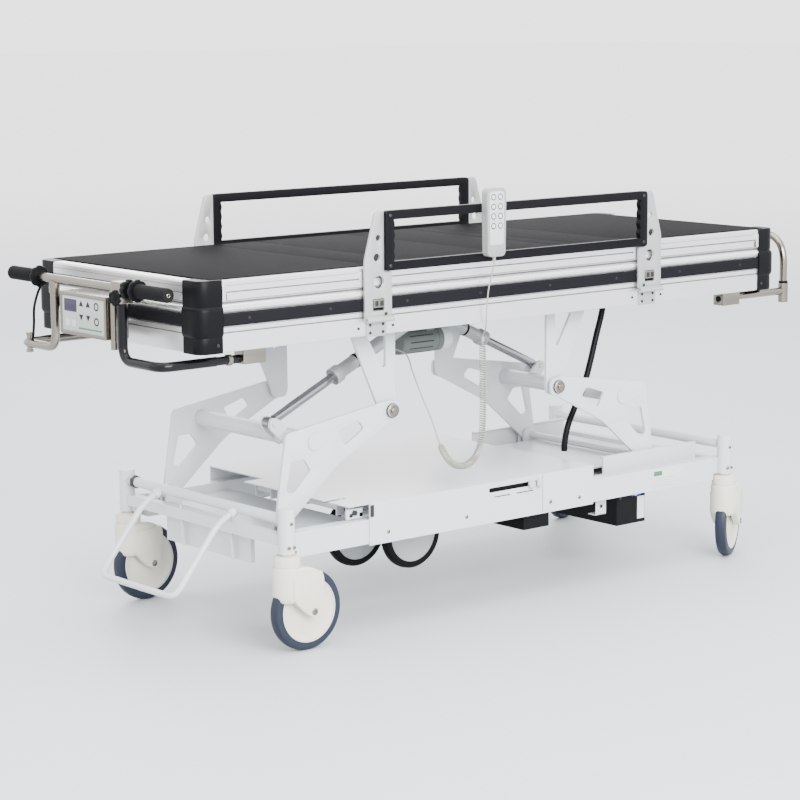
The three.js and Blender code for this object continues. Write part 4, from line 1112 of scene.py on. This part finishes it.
def make_handset():
    outline = rounded([(HANDSET_X - 29, 917, 14), (HANDSET_X + 29, 917, 14), (HANDSET_X + 32, 1089, 18),
                       (HANDSET_X - 32, 1089, 18)], 10)
    parts = [(moved(plate(outline, 0, 9.5, edge=3.4), upright((0, -364.6, 0))), HANDSET)]
    parts.append((moved(plate(outline, 10, 21.6, edge=4.6), upright((0, -364.6, 0))), HANDSET))
    face = rounded([(HANDSET_X - 23, 946, 8), (HANDSET_X + 23, 946, 8), (HANDSET_X + 25, 1080, 12),
                    (HANDSET_X - 25, 1080, 12)], 8)
    parts.append((moved(plate(face, 21.2, 22.0, edge=0.3), upright((0, -364.6, 0))), PALE_PLASTIC))
    for row in range(4):
        for column in (-1, 1):
            at = (HANDSET_X + column * 11.5, -386.5, 1066 - 24 * row)
            ring = lathe([(5.4, 0), (8.2, 0), (8.2, 0.3), (7.8, 0.6), (5.6, 0.6), (5.4, 0)], 28)
            key = lathe([(0, -0.3), (5.3, -0.3), (5.3, 0.7), (4.4, 1.3), (0, 1.5)], 28)
            parts.append((moved(ring, aimed(at, (0, -1, 0))), BUTTON))
            parts.append((moved(key, aimed(at, (0, -1, 0))), LABEL))
    relief = [mm(HANDSET_X, -375.6, 922), mm(HANDSET_X, -375.6, 917), mm(HANDSET_X, -375.6, 911),
              mm(HANDSET_X, -375.6, 905)]
    parts.append((sweep(relief, [5.2, 5.0, 3.8, 2.8], 20), LEAD))
    for z in (914.5, 911.5, 908.5):
        parts.append((moved(lathe([(2, -0.7), (4.6, -0.7), (4.6, 0.7), (2, 0.7), (2, -0.7)], 20),
                            Matrix.Translation(mm(HANDSET_X, -375.6, z))), LEAD))
    hook = rounded([(-14, 0), (14, 0), (14, 5.0, 1.5), (-14, 5.0, 1.5)], 4)
    parts.append((moved(plate(hook, 0, 19, edge=0.8), upright((HANDSET_X, -346, 1050.3))), HANDSET))
    body = piece("hand_control", "rail_near", parts)
    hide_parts("handset")


make_handset()

# ---------------------------------------------------------------- push end
BAR_X = -1060
BAR_Z = 892
TUBE = 10.5
LEG_Y = 147
FOOT_Y = 300


def socket_block(x, y):
    """The clamp block under the deck that takes a handle's tube."""
    return [(block((x - 33, y - 20, 710), (x + 33, y + 20, 747.6), 2.4), STEEL)]


def make_push_handle():
    cross = [mm(BAR_X, -209, BAR_Z), mm(BAR_X, 209, BAR_Z)]
    leg = bends([[BAR_X, LEG_Y, BAR_Z], [BAR_X, LEG_Y, 722, 36], [BAR_X, FOOT_Y, 722, 36],
                 [-830, FOOT_Y, 722]], 12)
    parts = [(sweep(cross, TUBE, 36), STEEL), (sweep(leg, TUBE, 32), STEEL)]
    parts += socket_block(-805, FOOT_Y)
    parts += socket_block(-805, -FOOT_Y)
    parts.append((sweep([mm(BAR_X, -112, 745), mm(BAR_X, -112, BAR_Z)], 9, 28), STEEL))
    parts.append((sweep([mm(BAR_X, 268, 700), mm(BAR_X, 268, 748)], 7, 24), STEEL))
    for z in (700, 744):
        nut = plate(circle((0, 0), 10.5, 6), 0, 6, edge=0.8)
        parts.append((moved(nut, Matrix.Translation(mm(BAR_X, 268, z))), STEEL))
    tee = lathe([(10.6, -16), (13.2, -15), (13.2, 15), (10.6, 16), (10.6, -16)], 32)
    parts.append((moved(tee, aimed((BAR_X, LEG_Y, 873), (0, 0, 1))), STEEL))
    handle = piece("push_bar", "deck", parts)
    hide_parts("push_handle")


def make_near_tube():
    """The near support: a glossy black sleeve over the tube, with a steel clamp block at its top."""
    route = bends([[BAR_X, -LEG_Y, 862], [BAR_X, -LEG_Y, 722, 36], [BAR_X, -FOOT_Y, 722, 36],
                   [-830, -FOOT_Y, 722]], 12)
    radii = [11.5 if p.x < -0.905 else 10.3 for p in route[:-1]] + [10.3]
    route = [*route[:-1], mm(-905, -FOOT_Y, 722), mm(-904, -FOOT_Y, 722), route[-1]]
    radii = [*radii[:-1], 11.5, 10.3, 10.3]
    parts = [(sweep(route, radii, 36), SLEEVE)]
    ring = lathe([(11, -6), (13.4, -5), (13.4, 5), (11, 6), (11, -6)], 32)
    parts.append((moved(ring, aimed((-868, -FOOT_Y, 722), (1, 0, 0))), STEEL))
    parts.append((block((-1079, -167, 858), (-1041, -127, 910), 3.0, 4), STEEL))
    for z in (868, 900):
        parts.append((moved(screw_head(4.5, 2.6), aimed((-1060, -166.8, z), (0, -1, 0))), DARK_STEEL))
    tube = piece("sleeved_tube_near", "deck", parts)
    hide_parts("support_tube_near")


def lobed_ring(radius, depth, lobes, low, high):
    """A thick ring with soft lobes round it, about Z."""
    steps = 96
    rings = []
    levels = [(low, -2.0), (low + 1.4, -0.4), (low + 3, 0), (high - 3, 0), (high - 1.4, -0.4), (high, -2.0)]
    for z, inset in levels:
        ring = []
        for k in range(steps):
            angle = 2 * math.pi * k / steps
            reach = radius + inset - depth * (0.5 - 0.5 * math.cos(lobes * angle)) ** 3
            ring.append(mm(reach * math.cos(angle), reach * math.sin(angle), z))
        rings.append(ring)
    return loft(rings)


def make_grip(where, side):
    place = aimed((BAR_X, side * 209.3, BAR_Z), (0, side, 0))
    profile = [(10.6, 6)]
    for k in range(28):
        z = 9 + 4 * k
        profile += [(17.0, z), (17.0, z + 2.2), (16.1, z + 2.9), (16.1, z + 3.6)]
    profile += [(17.0, 121.5), (17.0, 125.5), (15.4, 128.2), (11, 129.0), (0, 129.0), (0, 6), (10.6, 6)]
    grip = lathe(profile, 48)
    parts = [(moved(grip, place), GRIP_RUBBER)]
    parts.append((moved(lobed_ring(27, 2.2, 8, 0, 8), place), BLACK_PLASTIC))
    parts.append((moved(screw_head(5.2, 2.0, 0.6), place @ Matrix.Translation(mm(0, 0, 127.6))), STEEL))
    handle = piece("ribbed_grip_" + where, "deck", parts)
    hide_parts("push_grip_" + where)


def make_clamp_knobs():
    """Two lobed black knobs that clamp the push bar to the near tube."""
    collar = aimed((BAR_X, -172, BAR_Z), (0, -1, 0))
    knob = aimed((-1079, -150, 872), (-1, -0.25, 0))
    stem = lathe([(0, -6), (6, -6), (6, 1), (0, 1)], 20)
    cap = lathe([(0, 6), (7, 6), (8, 7.4), (6, 8.4), (0, 8.6)], 28)
    parts = [(moved(lobed_ring(25, 3.4, 8, 0, 14), collar), BLACK_PLASTIC)]
    parts += [(moved(lobed_ring(19, 3.0, 6, -2, 6.5), knob), BLACK_PLASTIC), (moved(stem, knob), STEEL),
              (moved(cap, knob), BLACK_PLASTIC)]
    piece("clamp_knob", "deck", parts)


make_push_handle()
make_near_tube()
make_grip("near", NEAR)
make_grip("far", FAR)
make_clamp_knobs()


def make_control_panel():
    x0, x1 = -1075, -1010
    parts = [(block((x0 + 1.6, -100, 766), (x1, 100, 868), 3.2, 4), STEEL)]
    parts.append((block((x1 - 4, -40, 800), (-984.5, 40, 850), 2.0), PAINT))
    rim = rounded([(-100, 766, 5), (100, 766, 5), (100, 868, 5), (-100, 868, 5)], 8)
    hole = rounded([(-91, 775, 4), (91, 775, 4), (91, 859, 4), (-91, 859, 4)], 8)
    face_place = Matrix.Translation(mm(x0, 0, 0)) @ Matrix(((0, 0, 1, 0), (-1, 0, 0, 0), (0, 1, 0, 0),
                                                            (0, 0, 0, 1)))
    parts.append((moved(plate(rim, 0, 4, [hole], 0.9), face_place), STEEL))
    parts.append((moved(plate(hole, 1.0, 2.6, edge=0.2), face_place), MEMBRANE))

    def mark(points, mat, proud=0.5):
        return moved(plate(points, 1.0 - proud, 1.4, edge=0.12), face_place), mat

    parts.append(mark(rounded([(-82, 822, 3), (-28, 822, 3), (-28, 852, 3), (-82, 852, 3)], 5), DISPLAY))
    for x in (-8, 22):
        parts.append(mark([(x - 9, 838), (x + 9, 838), (x, 852)], MARK))
        parts.append(mark([(x - 9, 818), (x, 804), (x + 9, 818)], MARK))
    for x, z in ((58, 842), (58, 806)):
        ring = circle((x, z), 10, 36)
        inner = circle((x, z), 6.6, 36)
        parts.append((moved(plate(ring, 0.4, 1.4, [inner], 0.12), face_place), MARK))
    for x in (-68, -42):
        parts.append(mark(rounded([(x - 9, 786, 3), (x + 9, 786, 3), (x + 9, 804, 3), (x - 9, 804, 3)], 4),
                          PALE_PLASTIC))
    parts.append(mark(rounded([(-20, 783, 1), (80, 783, 1), (80, 787, 1), (-20, 787, 1)], 3), GREEN_MARK,
                      0.3))
    panel = piece("membrane_panel", "deck", parts)
    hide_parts("control_panel")


def make_foot_handle():
    hoop = bends([[1075, -FOOT_Y, 745], [1075, -FOOT_Y, 888, 80], [1075, FOOT_Y, 888, 80],
                  [1075, FOOT_Y, 745]], 16)
    parts = [(sweep(hoop, TUBE, 36), STEEL)]
    for y in (-FOOT_Y, FOOT_Y):
        socket = lathe([(0, 698), (12.6, 698), (14, 699.6), (14, 750.4), (12.8, 752), (10.6, 752),
                        (0, 751)], 40)
        parts.append((moved(socket, Matrix.Translation(mm(1075, y, 0))), STEEL))
        collar = lathe([(10.6, 752), (13.4, 752), (13.4, 757), (11.4, 759), (10.6, 759), (10.6, 752)], 40)
        parts.append((moved(collar, Matrix.Translation(mm(1075, y, 0))), BLACK_PLASTIC))
        parts.append((sweep([mm(845, y, 730), mm(1065, y, 730)], TUBE, 32), STEEL))
        parts += socket_block(840, y)
        parts.append((moved(lathe([(0, 0), (8, 0), (8, 3), (6, 4), (0, 4)], 24),
                            aimed((807.2, y, 728), (-1, 0, 0))), BLACK_PLASTIC))
    handle = piece("foot_push_hoop", "deck", parts)
    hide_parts("foot_handle")


def make_motor():
    along = aimed((-160, -62, 672), (1, 0, 0))
    body = lathe([(0, 0), (29, 0), (32.4, 2.5), (33, 6), (33, 118), (31.4, 120), (31.4, 123), (33, 125),
                  (33, 160), (30, 171), (22, 178), (0, 180)], 64)
    parts = [(moved(body, along), MOTOR)]
    bell = lathe([(33.1, 140), (33.4, 141), (33.2, 160), (30.3, 171.4), (22.1, 178.4), (0, 180.4),
                  (0, 176), (33.1, 140)], 64)
    parts.append((moved(bell, along), PALE_PLASTIC))
    for k in range(12):
        turn = Matrix.Rotation(2 * math.pi * k / 12, 4, "Z")
        parts.append((moved(block((31.6, -1.6, 24), (33.25, 1.6, 104), 0.6), along @ turn), MARK))
    neck = rounded([(-74, -84, 6), (-46, -84, 6), (-46, -40, 6), (-74, -40, 6)], 5)
    parts.append((plate(neck, 690, 751.6, edge=0.8), MOTOR))
    motor = piece("lift_motor_housing", "deck", parts)
    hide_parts("lift_motor")


make_control_panel()
make_foot_handle()
make_motor()

# ---------------------------------------------------------------- finer parts of the deck and base
# Painted shade: dark strips laid over the side extrusion's grooves stand in for the shade inside them.
GROOVE_SHADE = material("groove_shadow", (0.10, 0.10, 0.105), 0.5, 0.6, tint=0.05, grain=4, bump=0.05,
                  stretch=BRUSH_X)
GLOSS_BAND = material("polished_band", (0.97, 0.97, 0.98), 0.20, 0.9, tint=0.02, grain=3, bump=0.06,
                      stretch=BRUSH_X, wear=0.05)
# Heights and half widths of the grooves that get painted shade strips.
GROOVES = [(903.5, 0.5), (888, 0.9), (869.2, 0.6), (864, 1.5), (843.2, 0.7), (806.6, 0.7), (794, 0.9)]
BAND = [(0, 845), (0.9, 845.6), (2.2, 848), (2.9, 852), (2.2, 856), (0.9, 858.4), (0, 859)]


def strip_along_side(section, reach):
    """A strip along X on the near side from (proud, height) pairs."""
    ring = [(-DECK_HALF_Y + 0.2 - proud, z) for proud, z in section]
    rings = [[mm(x, y, z) for y, z in ring] for x in (-reach, reach)]
    return loft(rings)


def make_side_lines():
    turn_end = Matrix.Rotation(math.radians(-90), 4, "Z")
    shift = Matrix.Translation(mm(-DECK_HALF_X + DECK_HALF_Y, 0, 0))
    side_reach = DECK_HALF_X - POST_FOOTPRINT - 1
    end_reach = DECK_HALF_Y - POST_FOOTPRINT - 1
    parts = []
    for reach, place in ((side_reach, Matrix()), (end_reach, shift @ turn_end)):
        shapes = []
        # painted shade strips at the groove heights
        for z, half in GROOVES:
            shapes.append((strip_along_side([(0, z - half), (0.35, z - half), (0.35, z + half),
                                             (0, z + half)], reach), GROOVE_SHADE))
        shapes.append((strip_along_side(BAND, reach), GLOSS_BAND))
        axis = 1 if reach == side_reach else 0
        for shape, mat in shapes:
            placed = moved(shape, place)
            parts += [(placed, mat), (mirrored(placed, axis), mat)]
    piece("profile_groove_shade_and_band", "deck", parts)


def make_panel_ends():
    """Rounded metal ends of the upper side panel, beside the corner buffers and the rail plates."""
    parts = []
    for side in (NEAR, FAR):
        for x in (-910, 910, -504.5, -413, 432, 523.5):
            outline = rounded([(x - 5, 868, 4), (x + 5, 868, 4), (x + 5, 905, 4), (x - 5, 905, 4)], 5)
            shape = moved(plate(outline, 0, 2.6, edge=0.9), upright((0, -DECK_HALF_Y, 0)))
            parts.append((shape if side == NEAR else mirrored(shape, 1), ALUMINIUM_END))
    piece("panel_end_caps", "deck", parts)


def make_roller_deck():
    """White cross rollers in the open head end of the chassis cover, with their carriers."""
    parts = []
    for x, low, high in ((-500, -250, -90), (-500, 20, 84), (-470, -250, -90)):
        parts.append((sweep([mm(x, low, 312), mm(x, high, 312)], 8.5, 24), PAINT))
        for y in (low, high):
            parts.append((block((x - 12, y - 2, 292), (x + 12, y + 2, 326.4), 0.8), PAINT))
    parts.append((sweep([mm(-505, -296, 308), mm(-505, -318, 308)], 6.5, 20), DARK_STEEL))
    parts.append((block((-516, -300, 290), (-494, -290, 326), 1.0), PAINT))
    parts.append((block((-474, -338.2, 296), (-462, -336.4, 326), 0.8), DARK_STEEL))
    piece("cover_rollers", "base", parts)


def make_head_struts():
    """Thin flat struts below the head crossbeam and small clamps on the round bar."""
    parts = []
    for y in (-120, 90):
        parts.append((sweep([mm(-742, y, 300), mm(-734, y, 192)], 4.5, 16), PAINT))
    for y in (-322, 322):
        parts.append((sweep([mm(HEAD_POST_X, y - 6, 326), mm(HEAD_POST_X, y + 6, 326)], 15.4, 28),
                      PALE_PLASTIC))
    piece("head_struts", "base", parts)


def make_grip_cable():
    route = spline([(-1058, 206, 876), (-1064, 218, 850), (-1070, 226, 815), (-1066, 236, 775),
                    (-1062, 250, 735), (-1062, 262, 716)], 6)
    piece("grip_release_cable", "deck", [(sweep(route, 3.2, 14), BLACK_PLASTIC)])


def make_hand_slot():
    """The dark release bar behind the cover's hand slots, on each side."""
    parts = []
    for side in (NEAR, FAR):
        low, high = sorted((side * 330, side * 322))
        parts.append((block((-84, low, 302), (96, high, 318), 1.0), BLACK_PLASTIC))
    piece("release_bars", "base", parts)


make_side_lines()
make_panel_ends()
make_roller_deck()
make_head_struts()
make_grip_cable()
make_hand_slot()
